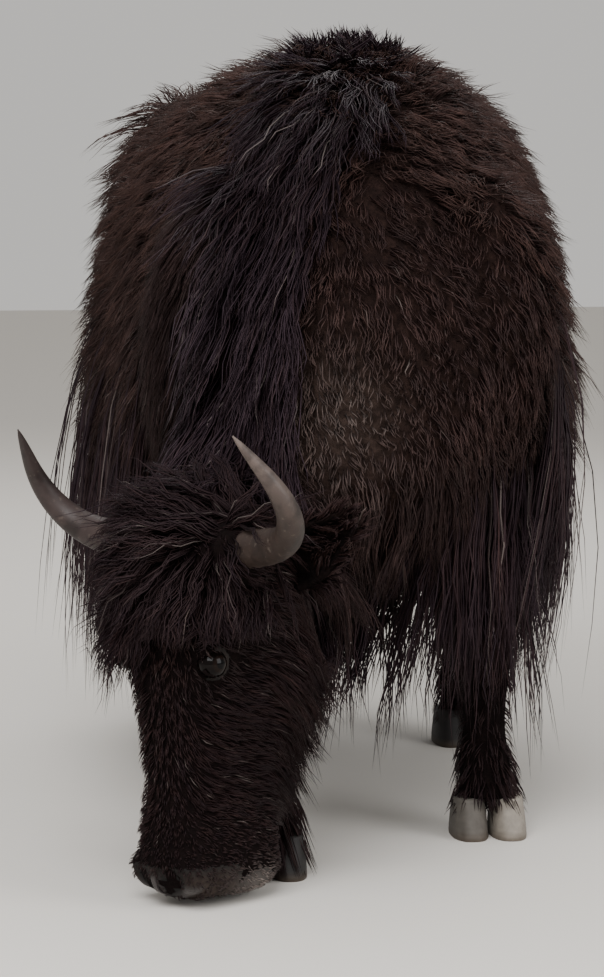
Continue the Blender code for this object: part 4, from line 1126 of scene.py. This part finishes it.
def from_legs(points):
    """How far each place is from the middle line of the nearest leg."""
    nearest = np.full(len(points), 9.0)
    for name in FEET:
        rows = np.array(leg_rows(name))
        middle = np.stack([np.interp(-points[:, 2], -rows[:, 2], rows[:, k]) for k in (0, 1)], axis=1)
        nearest = np.minimum(nearest, np.linalg.norm(points[:, :2] - middle, axis=1))
    return nearest


def on_ears(points):
    found = np.zeros(len(points), bool)
    for side, ahead in ears.items():
        root = np.array(beside(side, EAR_ROOT))
        reach = (points - root) @ ahead
        off = np.linalg.norm(points - root - reach[:, None] * ahead, axis=1)
        found |= (reach > 0.012) & (reach < 0.13) & (off < 0.05)
    return found


def region_masks(points):
    out, forward, along = in_head(points).T
    share, aside, below, _, _, _ = on_neck(points)
    y, z = points[:, 1], points[:, 2]
    off_leg = from_legs(points)
    head = (along > -0.085) & (np.abs(out) < 0.16) & (forward > -0.25 - 0.1 * along)
    head &= from_head_middle(points) < 0.31
    head &= ~((off_leg < 0.064) & (z < 0.30))
    leg = (off_leg < 0.10) & (z < 0.42) & ~head
    ear = on_ears(points) & ~leg
    tail_line = np.array([list(p) for p in tail_path(30)])[4:]
    tail = (np.linalg.norm(points[:, None, :] - tail_line[None], axis=2).min(axis=1) < 0.06) & (y > 0.93)
    head &= ~ear
    taken = head | ear | leg | tail
    mane = (np.abs(aside) < 0.066) & (below < 0.10) & (below > -0.15) & ~taken & (y < 0.14)
    neck = (y < -0.10) & ~taken & (share > 0.30) & (z < 1.0)
    return {"ear": ear, "head": head, "leg": leg, "tail": tail, "mane": mane, "neck": neck,
            "trunk": ~(taken | neck)}


MASKS = region_masks(FACE_MIDDLES)
for name, mask in MASKS.items():
    print("region", name, round(float(FACE_AREAS[mask].sum()), 3), "square metres")


# %% Charts: where a root lies on the unwrapped skin
def turned(a, b):
    return np.arctan2(a, b) / (2.0 * math.pi) + 0.5


def charted(a, b):
    return np.clip(np.stack([a, b], axis=1), 0.0, 1.0)


def trunk_chart(points):
    across = points[:, 0] - TRUNK_SWAY * points[:, 1]
    return charted(turned(across, points[:, 2] - 0.72), (points[:, 1] + 0.5) / 1.7)


def neck_chart(points):
    _, aside, below, _, _, _ = on_neck(points)
    return charted(turned(aside, 0.17 - below), (0.3 - points[:, 1]) / 0.95)


def head_chart(points):
    out, forward, along = in_head(points).T
    return charted(turned(out, forward + 0.09), (along + 0.09) / 0.57)


def tail_chart(points):
    return charted(turned(points[:, 0] - TAIL_ROOT.x, points[:, 1] - 1.05), (points[:, 2] - 0.4) / 0.55)


def leg_chart(points):
    feet = np.array(list(FEET.values()))
    foot = feet[np.linalg.norm(points[:, None, :2] - feet[None], axis=2).argmin(axis=1)]
    return charted(turned(points[:, 0] - foot[:, 0], points[:, 1] - foot[:, 1] - 0.04), points[:, 2] / 0.45)


# %% Grow one region
PLAIN_LOOK = {"uneven": 0.14, "clump": 0.55, "wave": 0.004, "wave_length": 0.06, "stray": 0.7, "curl": 0.6,
              "splay": 0.005, "width": 0.0028, "bleached": 0.012, "buried": 0.003}


def grow_region(name, guides, strands, weights, style, chart, look, slot, rings):
    """Guides, strands and the finished coat piece of one region."""
    look = PLAIN_LOOK | look
    roots, facings = scatter(guides, weights)
    shape = style(roots, facings)
    paths = grow_guides(roots, facings, shape["lie"], shape["length"], shape["lift"], shape["sag"], rings,
                        shape["clear"], shape.get("fall", DOWN))
    places, looks_out = scatter(strands, weights)
    guide = nearest_guides(places, roots)
    lines = comb_strands(places, looks_out, paths, guide, look)
    width = look["width"] * spread(0.7, 1.25, strands)
    brown = np.clip(shape["brown"][guide] + RNG.normal(0.0, 0.12, strands), 0.0, 1.0)
    pale = np.where(RNG.random(strands) < look["bleached"], spread(0.04, 0.20, strands), 0.0)
    pale = np.maximum(pale, shape.get("pale", np.zeros(guides))[guide] * spread(0.6, 1.2, strands))
    tints = np.stack([brown, np.clip(pale, 0.0, 1.0)], axis=1)
    strand_mesh(name, lines, looks_out, width, tints, chart(places), HAIR[look.get("finish", slot)])


# %% [markdown]
# ### Wool on the back and flanks
#
# Short, curly and brown-black, in small tufts that stand out a little and break the line of the back. It is
# shortest on the shoulder, and stands highest on the corners of the hips.

# %% Wool
def wool_style(points, facings):
    count = len(points)
    x, y, z = points.T
    across = x - TRUNK_SWAY * y
    behind = smoothstep((y - 0.02) / 0.25)
    on_top = (facings[:, 2] > 0.3) * (0.15 + 0.35 * behind)
    lie = np.stack([np.sign(across) * on_top, 0.05 + 0.50 * behind, np.full(count, -0.9)], axis=1)
    low = smoothstep((0.90 - z) / 0.30)
    shoulder = np.exp(-((y + 0.10) / 0.22) ** 2) * (across > 0.0)
    hip = np.exp(-(((np.abs(across) - 0.29) / 0.05) ** 2 + ((y - 0.62) / 0.12) ** 2 + ((z - 1.0) / 0.06) ** 2))
    length = spread(0.038, 0.054, count) + 0.042 * low - 0.010 * shoulder + 0.030 * hip
    return {
        "lie": tangled(lie, points, 0.36),
        "length": patchy_length(points, length, 0.42, 0.018),
        "lift": spread(0.26, 0.66, count) + 0.3 * hip,
        "sag": spread(0.10, 0.25, count),
        "clear": spread(0.008, 0.020, count) + 0.016 * low,
        "brown": np.clip(0.95 - 0.40 * low, 0.0, 1.0),
    }


WOOL_LOOK = {"clump": 0.46, "wave": 0.0040, "wave_length": 0.050, "curl": 1.0, "splay": 0.006, "width": 0.0023}
TRUNK_SIDES = (("left", ACROSS > 0.0), ("right", ACROSS <= 0.0))
trunk_weight = MASKS["trunk"] * (0.10 + 0.90 * smoothstep((HEIGHT - 0.48) / 0.12))
trunk_weight = trunk_weight * (1.0 + 0.35 * smoothstep((0.15 - BACK) / 0.1))
for side, mask in TRUNK_SIDES:
    for part, reach, strands in (("flank", BACK < 0.40, 10400), ("rump", BACK >= 0.40, 6600)):
        grow_region(f"coat_{part}_{side}", 1500, strands, trunk_weight * mask * reach,
                    wool_style, trunk_chart, WOOL_LOOK, "wool", 3)

# %% [markdown]
# ### The skirt
#
# Long straight hair hangs from the lower flanks almost to the hocks, with grey streaks and loose ends. The
# same hair hangs shorter under the belly, and long again from the breast, between the forelegs.

# %% Skirt, belly and breast
def skirt_style(points, facings):
    count = len(points)
    x, y, z = points.T
    across = x - TRUNK_SWAY * y
    inward = 0.08 + 0.34 * (across > 0.0) * smoothstep((0.55 - y) / 0.3)
    lie = np.stack([-0.05 * np.sign(across), spread(-0.04, 0.12, count), np.full(count, -1.0)], axis=1)
    fall = unit(np.stack([-inward * np.sign(across), np.zeros(count), np.full(count, -1.0)], axis=1))
    ground = 0.195 + 0.035 * np.sin(11.0 * y + 1.0) + RNG.normal(0.0, 0.020, count)
    return {
        "lie": tangled(lie, points, 0.12, 0.03),
        "length": np.clip((z - ground) * spread(0.68, 1.02, count), 0.12, 0.52),
        "lift": spread(0.10, 0.34, count),
        "sag": spread(0.25, 0.45, count),
        "clear": spread(0.010, 0.038, count),
        "brown": spread(0.0, 0.30, count),
        "fall": fall,
    }


LONG_LOOK = {"uneven": 0.10, "clump": 0.60, "wave": 0.0085, "wave_length": 0.13, "stray": 0.6, "curl": 0.7,
             "splay": 0.010, "width": 0.0037, "bleached": 0.04}
skirt_band = MASKS["trunk"] * smoothstep((0.86 - HEIGHT) / 0.20) * smoothstep((HEIGHT - 0.40) / 0.06)
skirt_band = skirt_band * smoothstep((np.abs(FACE_NORMALS[:, 0]) - 0.30) / 0.25)
for side, mask in TRUNK_SIDES:
    grow_region("coat_skirt_" + side, 520, 3500, skirt_band * mask, skirt_style, trunk_chart, LONG_LOOK,
                "long_hair", 5)


def belly_style(points, facings):
    made = skirt_style(points, facings)
    made["length"] = spread(0.12, 0.20, len(points))
    return made


def breast_style(points, facings):
    made = skirt_style(points, facings)
    left = smoothstep(points[:, 0] / 0.06)
    made["length"] = np.clip(points[:, 2] - 0.19 + 0.06 * left, 0.10, 0.36) * spread(0.65, 1.08, len(points))
    made["fall"] = np.tile(DOWN, (len(points), 1))
    return made


under = smoothstep((0.2 - FACE_NORMALS[:, 2]) / 0.4)
belly = MASKS["trunk"] * smoothstep((0.50 - HEIGHT) / 0.05) * under * (BACK > -0.05)
grow_region("coat_belly", 200, 1000, belly, belly_style, trunk_chart, LONG_LOOK, "long_hair", 3)
breast = (MASKS["trunk"] | MASKS["neck"]) * smoothstep((0.60 - HEIGHT) / 0.08) * under
breast = breast * smoothstep((-0.02 - BACK) / 0.06) * smoothstep((BACK + 0.36) / 0.06)
grow_region("coat_breast", 220, 1500, breast, breast_style, trunk_chart, LONG_LOOK, "long_hair", 5)

# %% [markdown]
# ### The mane
#
# From the hump to the poll a band of long wavy hair lies along the crest and falls to the animal's right. On
# the hump it is shorter, rises and nods forward.

# %% Mane and hump
def mane_style(points, facings):
    count = len(points)
    _, aside, _, ahead, crestward, side = on_neck(points)
    top = smoothstep((points[:, 1] + 0.10) / 0.08)
    fan = np.clip(aside / 0.07, -1.0, 1.0)[:, None]
    lie = ahead + side * (0.05 + 0.22 * fan) - crestward * 0.05
    return {
        "lie": tangled(lie, points, 0.15 + 0.35 * top[:, None], 0.03),
        "length": spread(0.14, 0.23, count) * (1.0 - 0.72 * top),
        "lift": spread(0.12, 0.34, count) + 0.45 * top,
        "sag": spread(0.06, 0.16, count) * (1.0 - 0.6 * top),
        "clear": spread(0.010, 0.030, count) * (1.0 - 0.5 * top),
        "brown": spread(0.0, 0.10, count),
    }


MANE_LOOK = {"uneven": 0.12, "clump": 0.60, "wave": 0.0055, "wave_length": 0.11, "splay": 0.008,
             "width": 0.0031, "bleached": 0.03}
mane_weight = MASKS["mane"] * (1.0 + 0.5 * (HEIGHT > 1.02))
grow_region("coat_mane", 440, 3700, mane_weight, mane_style, neck_chart, MANE_LOOK, "long_hair", 6)


# %% [markdown]
# ### The neck and throat
#
# Soft wavy hair of middle length. On the animal's left it is short, and rubbed pale brown in one place before
# the shoulder. On the right, under the fall of the mane, it is longer, and longer still below the throat.

# %% Neck
def neck_style(points, facings):
    count = len(points)
    _, aside, _, ahead, _, side = on_neck(points)
    right = smoothstep((aside + 0.02) / 0.06)
    under = smoothstep((0.62 - points[:, 2]) / 0.16) * (facings[:, 2] < 0.25)
    rubbed = rubbed_patch(points)
    lie = ahead * 0.15 + side * (np.sign(aside) * 0.25)[:, None] + DOWN * 0.9
    length = spread(0.028, 0.042, count) + 0.040 * right + 0.055 * under * spread(0.6, 1.1, count)
    return {
        "lie": tangled(lie, points, 0.28, 0.020),
        "length": patchy_length(points, length, 0.22) * (1.0 - 0.35 * rubbed),
        "lift": spread(0.10, 0.32, count),
        "sag": spread(0.10, 0.25, count) + 0.15 * under,
        "clear": spread(0.004, 0.012, count),
        "brown": np.clip(0.60 - 0.35 * right + 0.60 * rubbed - 0.3 * under, 0.0, 1.0),
        "pale": 0.21 * rubbed,
    }


NECK_LOOK = {"clump": 0.38, "wave": 0.0032, "wave_length": 0.042, "curl": 0.8, "splay": 0.004, "width": 0.0022}
neck_aside = on_neck(FACE_MIDDLES)[1]
for side, mask in (("right", neck_aside > 0.0), ("left", neck_aside <= 0.0)):
    grow_region("coat_neck_" + side, 900, 6200, MASKS["neck"] * mask, neck_style, neck_chart, NECK_LOOK,
                "wool", 3)

# %% [markdown]
# ### The face
#
# Hair on the face is short and fine, and lies down along the nose, and back over the cheek. On the cheek and
# jaw it is longer. The chin carries a few pale hairs.

# %% Face
def face_style(points, facings):
    count = len(points)
    out, forward, along = in_head(points).T
    cheek = smoothstep((0.005 - forward) / 0.05)[:, None]
    lie = (np.array(HEAD_ALONG) * (0.9 - 0.62 * cheek) - np.array(HEAD_FORWARD) * (0.25 + 0.75 * cheek)
           + np.array(HEAD_OUT) * np.sign(out)[:, None] * 0.2)
    muzzle = smoothstep((along - 0.30) / 0.10)
    jaw = smoothstep((-0.10 - forward) / 0.06) * (1.0 - muzzle)
    length = 0.017 - 0.010 * muzzle + 0.010 * cheek[:, 0] * (1.0 - muzzle) + 0.050 * jaw
    eye = np.exp(-(from_eye(out, forward, along) / 0.035) ** 2)
    chin = chin_patch(out, forward, along)
    return {
        "lie": tangled(lie, points, 0.16, 0.012),
        "length": length * spread(0.8, 1.2, count) * (1.0 - 0.45 * eye),
        "lift": spread(0.08, 0.22, count) * (1.0 - 0.5 * muzzle) * (1.0 - 0.5 * jaw),
        "sag": spread(0.0, 0.08, count) + 0.50 * jaw,
        "clear": spread(0.002, 0.006, count) * (1.0 - 0.6 * muzzle) * (1.0 - 0.6 * eye),
        "brown": spread(0.15, 0.40, count),
        "pale": 0.55 * chin + 0.03 * eye + 0.05 * bare_places(points)[:, 1],
    }


def head_weights():
    """Where the head has hair: not on the pad, in the nostrils, between the lids or along the mouth."""
    bare = bare_places(FACE_MIDDLES)
    free = 1.0 - np.clip(bare[:, 0] * 1.4 + 0.2 * bare[:, 1], 0.0, 1.0)
    free = free * smoothstep((from_eye(FACE_OUT, FACE_FORWARD, FACE_ALONG) - 0.0205) / 0.003)
    free = free * (1.0 - mouth_line(FACE_FORWARD, FACE_ALONG)[0])
    nostril = nostril_shape(FACE_OUT, FACE_FORWARD, FACE_ALONG)
    return MASKS["head"] * free * (1.0 - np.clip(1.6 * nostril, 0.0, 1.0))


FACE_LOOK = {"clump": 0.40, "wave": 0.0011, "wave_length": 0.022, "splay": 0.0015, "width": 0.0017,
             "bleached": 0.02, "buried": 0.0015, "finish": "face_hair"}
face_weight = head_weights() * (1.0 + smoothstep((FACE_ALONG - 0.12) / 0.1))
for side, mask in (("left", FACE_OUT > 0.0), ("right", FACE_OUT <= 0.0)):
    grow_region("coat_face_" + side, 2100, 8200, face_weight * mask, face_style, head_chart, FACE_LOOK,
                "wool", 2)


# %% [markdown]
# ### The forelock
#
# Long wavy hair starts from a whorl before the left horn. From there it sweeps across the brow to the right
# and falls over the forehead down to the eyes.

# %% Forelock
WHORL = np.array((0.100, -0.012))


def forelock_style(points, facings):
    count = len(points)
    out, forward, along = in_head(points).T
    away = unit(np.stack([out, along], axis=1) - WHORL)
    across = smoothstep((0.03 - out) / 0.08)
    lie = np.array(HEAD_OUT) * away[:, :1] + np.array(HEAD_ALONG) * (away[:, 1:] + 0.45 + 0.9 * across[:, None])
    fallen = smoothstep((along - 0.01) / 0.08)
    by_horn = across * smoothstep((0.045 - along) / 0.03)
    length = spread(0.085, 0.135, count) * (1.0 - 0.38 * fallen * (1.0 - across)) * (1.0 - 0.60 * by_horn)
    above_eye = smoothstep((out - 0.02) / 0.02)
    to_lid = np.maximum(0.030, 1.05 * (0.122 - along))
    return {
        "lie": tangled(lie, points, 0.30, 0.018),
        "length": length * (1.0 - above_eye) + np.minimum(length, to_lid) * above_eye,
        "lift": spread(0.18, 0.42, count),
        "sag": spread(0.06, 0.18, count) + 0.12 * across,
        "clear": spread(0.008, 0.026, count),
        "brown": spread(0.0, 0.20, count),
    }


brow = smoothstep((0.100 - FACE_ALONG) / 0.03) * smoothstep((FACE_FORWARD + 0.12) / 0.05)
brow = MASKS["head"] * (brow * (FACE_ALONG > -0.085))
brow = brow * smoothstep((0.120 - FACE_OUT) / 0.02) * smoothstep((FACE_OUT + 0.100) / 0.02)
FORELOCK_LOOK = {"uneven": 0.13, "clump": 0.62, "wave": 0.0054, "wave_length": 0.055, "stray": 0.6, "curl": 0.8,
                 "splay": 0.0045, "width": 0.0025, "bleached": 0.03, "finish": "face_hair"}
grow_region("coat_forelock", 280, 2800, brow, forelock_style, head_chart, FORELOCK_LOOK, "long_hair", 6)

# %% [markdown]
# ### Legs, ears and tail
#
# The legs carry hair that hangs from the knee and hock, lies close on the cannon and flares over the claws.
# The right forefoot stands in longer hair than the others. The tail is a bush of the skirt's hair.

# %% Legs
LONG_FETLOCK = "fore_right"


def leg_style(points, facings):
    count = len(points)
    z = points[:, 2]
    upper = smoothstep((z - 0.22) / 0.12)
    fetlock = np.exp(-((z - 0.085) / 0.034) ** 2)
    foot = np.array(FEET[LONG_FETLOCK])
    longer = (np.linalg.norm(points[:, :2] - foot, axis=1) < 0.12) * 1.0
    lie = np.tile(DOWN, (count, 1)) + facings * 0.1
    return {
        "lie": tangled(lie, points, 0.14),
        "length": 0.020 + 0.045 * upper * spread(0.7, 1.2, count) + (0.028 + 0.075 * longer) * fetlock,
        "lift": spread(0.08, 0.24, count) * (1.0 - 0.8 * longer) + 0.16 * fetlock * (1.0 - longer),
        "sag": spread(0.05, 0.2, count) + 0.25 * longer,
        "clear": spread(0.003, 0.007, count),
        "brown": spread(0.10, 0.35, count),
        "fall": unit(DOWN + facings * ((0.25 + 0.30 * longer) * fetlock)[:, None]),
    }


LEG_LOOK = {"clump": 0.48, "wave": 0.0018, "wave_length": 0.040, "curl": 0.5, "splay": 0.002, "width": 0.0022,
            "finish": "face_hair"}
for name, (x, y) in FEET.items():
    near = (np.abs(FACE_MIDDLES[:, 0] - x) < 0.12) & (np.abs(BACK - y) < 0.26)
    weight = MASKS["leg"] * near * (HEIGHT > 0.052) * (1.0 + 1.5 * (HEIGHT < 0.13))
    grow_region("coat_leg_" + name, 400, 1500, weight, leg_style, leg_chart, LEG_LOOK, "long_hair", 3)


# %% Ears
def ear_style(points, facings):
    count = len(points)
    on_left = in_head(points)[:, :1] > 0.0
    lie = np.where(on_left, ears[1.0][None], ears[-1.0][None])
    return {
        "lie": tangled(lie, points, 0.22),
        "length": spread(0.020, 0.040, count),
        "lift": spread(0.2, 0.5, count),
        "sag": spread(0.02, 0.12, count),
        "clear": spread(0.002, 0.006, count),
        "brown": spread(0.3, 0.6, count),
    }


EAR_LOOK = FACE_LOOK | {"width": 0.0025}
grow_region("coat_ears", 240, 1300, MASKS["ear"], ear_style, head_chart, EAR_LOOK, "long_hair", 3)


# %% Tail
def tail_style(points, facings):
    count = len(points)
    lie = np.tile(DOWN, (count, 1)) + facings * 0.25
    return {
        "lie": tangled(lie, points, 0.10),
        "length": np.clip(points[:, 2] - 0.24, 0.16, 0.34) * spread(0.75, 1.05, count),
        "lift": spread(0.15, 0.40, count),
        "sag": spread(0.20, 0.40, count),
        "clear": spread(0.006, 0.030, count),
        "brown": spread(0.0, 0.15, count),
    }


grow_region("coat_tail", 170, 1450, MASKS["tail"], tail_style, tail_chart, LONG_LOOK, "long_hair", 5)

# %% [markdown]
# ## Horns
#
# The horns leave the head sideways and turn up and forward in one bend. They are grey-tan, with shallow
# growth rings and a ring crack near the root, and polished towards the tip.

# %% Horns
HORN_LENGTH = 0.315
HORN_RADIUS = 0.0275
HORN_START = math.radians(6.0)
HORN_TURN = math.radians(102.0)
HORN_LEAN = math.radians(35.0)
HORN_STEPS, HORN_SIDES = 120, 40
HORN_SHARES = np.arange(HORN_STEPS + 1) / HORN_STEPS
GROWTH_RING_DEPTH = 0.0007
ROOT_CRACK, ROOT_CRACK_DEPTH = 0.135, 0.0014


def horn(side):
    rise = head_direction(0.0, math.sin(HORN_LEAN), -math.cos(HORN_LEAN))
    outward = head_direction(side, 0.0, 0.0)
    here = beside(side, HORN_ROOT)
    normal = outward.cross(rise)
    sections = []
    for share in HORN_SHARES:
        angle = HORN_START + HORN_TURN * smoothstep((share - 0.20) / 0.66)
        ahead = outward * math.cos(angle) + rise * math.sin(angle)
        radius = max(0.0012, HORN_RADIUS * (1.0 - share) ** 0.62 * (1.0 + 0.16 * (1.0 - share)))
        ring = 0.5 + 0.5 * math.sin(share * 95.0 + 2.0 * math.sin(share * 17.0))
        radius -= GROWTH_RING_DEPTH * ring * max(0.0, 1.0 - share * 1.5)
        radius -= ROOT_CRACK_DEPTH * math.exp(-((share - ROOT_CRACK) / 0.006) ** 2)
        across = normal.cross(ahead).normalized()
        sections.append((here.copy(), normal, across, radius, radius * 0.94, radius * 0.94, 2.0, 2.0))
        here = here + ahead * (HORN_LENGTH / HORN_STEPS)
    bm = bmesh.new()
    loft_into(bm, sections, HORN_SIDES)
    name = "horn_" + ("left" if side > 0 else "right")
    piece = object_from(bm, name + "_shell")
    share = np.repeat(HORN_SHARES, HORN_SIDES)
    left = np.full(len(share), 0.5 + 0.5 * side)
    paint(piece.data, "along", np.stack([share, left, share], axis=1))
    piece.data.materials.append(HORN)
    finish_piece(piece, "horn", name)


def finish_piece(piece, slot, *nodes):
    """Moves a piece from the frame under the hump to the model's, and hides the solids that it stands for."""
    piece.data.transform(Matrix.Translation(HUMP_FOOT))
    piece.data.polygons.foreach_set("use_smooth", [True] * len(piece.data.polygons))
    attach(piece, "root")
    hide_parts(*nodes)


def horn_material():
    finish = Finish("horn_finish")
    along, left, _ = finish.attribute("along")
    streaks = finish.noise(45.0, 6.0)
    dark = finish.mix(streaks, (0.014, 0.0092, 0.0087), (0.054, 0.036, 0.033))
    light = finish.mix(streaks, (0.008, 0.0049, 0.0041), (0.040, 0.0250, 0.0196))
    root = finish.mix(streaks, (0.010, 0.0064, 0.0054), (0.044, 0.029, 0.023))
    tip = finish.mix(left, (0.026, 0.019, 0.018), (0.110, 0.084, 0.074))
    colour = finish.mix(left, dark, light)
    for strength, other in (
        (finish.ranged(along, 0.0, 0.30, 0.75, 0.0), root),
        (finish.ranged(along, 0.50, 1.0, 0.0, 0.9), tip),
        (finish.ranged(finish.noise(24.0, 4.0), 0.50, 0.62, 0.0, 0.62), (0.0070, 0.0046, 0.0040)),
        (finish.ranged(finish.noise(160.0, 2.0), 0.62, 0.72, 0.0, 0.5), (0.085, 0.066, 0.054)),
    ):
        colour = finish.mix(strength, colour, other)
    return finish.done({
        "Base Color": colour,
        "Roughness": finish.ranged(along, 0.0, 1.0, 0.62, 0.42),
        "Normal": finish.bump(streaks, 0.7, 0.0016),
        "Specular IOR Level": 0.28,
    })


HORN = horn_material()
for side in (1.0, -1.0):
    horn(side)

# %% [markdown]
# ## Eyes
#
# A yak's eye is large, dark brown to black, with a level oval pupil that hardly shows in so dark an iris, so
# a round one does. The ball is smooth and very glossy and shows the lights. It sits behind the lids.

# %% Eyes
def eye_material(front):
    """Nearly black, with an iris and a pupil that are circles round the front of the ball."""
    finish = Finish("eye_finish")
    offset, size = finish.new("VectorMath"), finish.new("VectorMath")
    offset.operation = "SUBTRACT"
    size.operation = "LENGTH"
    away = finish.feed(offset, {0: finish.place(), 1: front})["Vector"]
    away = finish.feed(size, {0: away})["Value"]
    iris = finish.ranged(away, 0.011, 0.013, 1.0, 0.0)
    pupil = finish.ranged(away, 0.0062, 0.0070, 1.0, 0.0)
    colour = finish.mix(iris, (0.0030, 0.0020, 0.0018), (0.0060, 0.0032, 0.0024))
    return finish.done({
        "Base Color": finish.mix(pupil, colour, (0.0010, 0.0010, 0.0012)),
        "Roughness": 0.05,
        "Specular IOR Level": 0.10,
    })


for name, side in (("left", 1.0), ("right", -1.0)):
    centre = beside(side, EYE_PLACE)
    bm = bmesh.new()
    ball_into(bm, centre, HEAD_AXES, (EYE_RADIUS * 0.98,) * 3, 48, 32)
    piece = object_from(bm, f"eye_{name}_ball")
    piece.data.materials.append(eye_material(centre + HUMP_FOOT + HEAD_OUT * side * EYE_RADIUS))
    finish_piece(piece, "eye", f"eye_{name}")

# %% [markdown]
# ## Claws
#
# Each foot stands on two claws. The walls are ribbed across by growth and soiled at the edge. On the left
# forefoot the outer claw is cream and the inner one slate, so the colour is set claw by claw.

# %% Claws
def claw_material():
    finish = Finish("claw_finish")
    pale, height, _ = finish.attribute("claw")
    streaks = finish.noise(90.0, 5.0)
    dark = finish.mix(streaks, (0.0055, 0.0048, 0.0048), (0.022, 0.0195, 0.019))
    cream = finish.mix(streaks, (0.130, 0.112, 0.095), (0.33, 0.295, 0.25))
    soiled = finish.ranged(height, 0.0, 0.25, 0.7, 0.0)
    return finish.done({
        "Base Color": finish.mix(soiled, finish.mix(pale, dark, cream), (0.060, 0.043, 0.030)),
        "Roughness": 0.62,
        "Specular IOR Level": 0.25,
        "Normal": finish.bump(streaks, 0.5, 0.0008),
    })


CLAW = claw_material()
PALE_CLAWS = {("fore_left", 1.0): 0.85, ("fore_left", -1.0): 0.28}
CLAW_HALF_WIDTH = 0.0262
# Height, reach to the front and to the rear, and share of the width
CLAW_LEVELS = ((0.0, 0.064, 0.044, 1.0), (0.010, 0.063, 0.046, 1.01), (0.034, 0.050, 0.042, 0.94),
               (0.056, 0.036, 0.036, 0.84))


def claw(foot, inward, name):
    x, y = FEET[foot]
    sections = []
    for height, front, rear, wide in smooth_rows(CLAW_LEVELS, 8):
        rib = 1.0 - 0.012 * (0.5 + 0.5 * math.sin(height * 900.0)) * (height > 0.004)
        centre = vec(x + inward * CLAW_FROM_FOOT[0], y - 0.012, height)
        half = CLAW_HALF_WIDTH * wide * rib
        sections.append((centre, ACROSS_WAY, -BACK_WAY, half, front * rib, rear * rib, 2.5, 2.5))
    bm = bmesh.new()
    loft_into(bm, sections, 48)
    piece = object_from(bm, name + "_wall")
    points = array_of(piece.data)
    pale = PALE_CLAWS.get((foot, inward), 0.0)
    height = points[:, 2] / CLAW_LEVELS[-1][0]
    paint(piece.data, "claw", np.stack([np.full(len(points), pale), height], axis=1))
    piece.data.materials.append(CLAW)
    finish_piece(piece, "claw", name)


DEWCLAW_LENGTH = 0.033
DEWCLAW_TAPER = ((0.0, 0.0110), (0.5, 0.0100), (0.85, 0.0070), (1.0, 0.0030))


def dewclaw(foot, inward, name):
    x, y = FEET[foot]
    root = vec(x + inward * 0.022, y + 0.052, 0.101)
    ahead = vec(inward * 0.25, 0.55, -0.80).normalized()
    face = ACROSS_WAY.cross(ahead).normalized()
    bm = bmesh.new()
    sections = []
    for share, half in smooth_rows(DEWCLAW_TAPER, 4):
        centre = root + ahead * (DEWCLAW_LENGTH * share)
        sections.append((centre, ACROSS_WAY, face, half, half * 0.8, half * 0.8, 2.0, 2.0))
    loft_into(bm, sections, 20)
    piece = object_from(bm, name + "_horn")
    paint(piece.data, "claw", np.full((len(piece.data.vertices), 2), (0.1, 1.0)))
    piece.data.materials.append(CLAW)
    finish_piece(piece, "claw", name)


for foot in FEET:
    for place, inward in (("left", 1.0), ("right", -1.0)):
        claw(foot, inward, f"claw_{foot}_{place}")
        dewclaw(foot, inward, f"dewclaw_{foot}_{place}")

# %% [markdown]
# ## Last steps
#
# The skin stands for every node of flesh. The number of faces of the dressed model is printed.

# %% Hand over
FLESH = ("torso", "neck", "head", "tail", "ear_left", "ear_right", "foreleg_left", "foreleg_right",
         "hindleg_left", "hindleg_right")
finish_piece(skin, "wool", *FLESH)
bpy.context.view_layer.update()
total = sum(len(o.data.polygons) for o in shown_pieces() if o.type == "MESH")
print("faces", total)
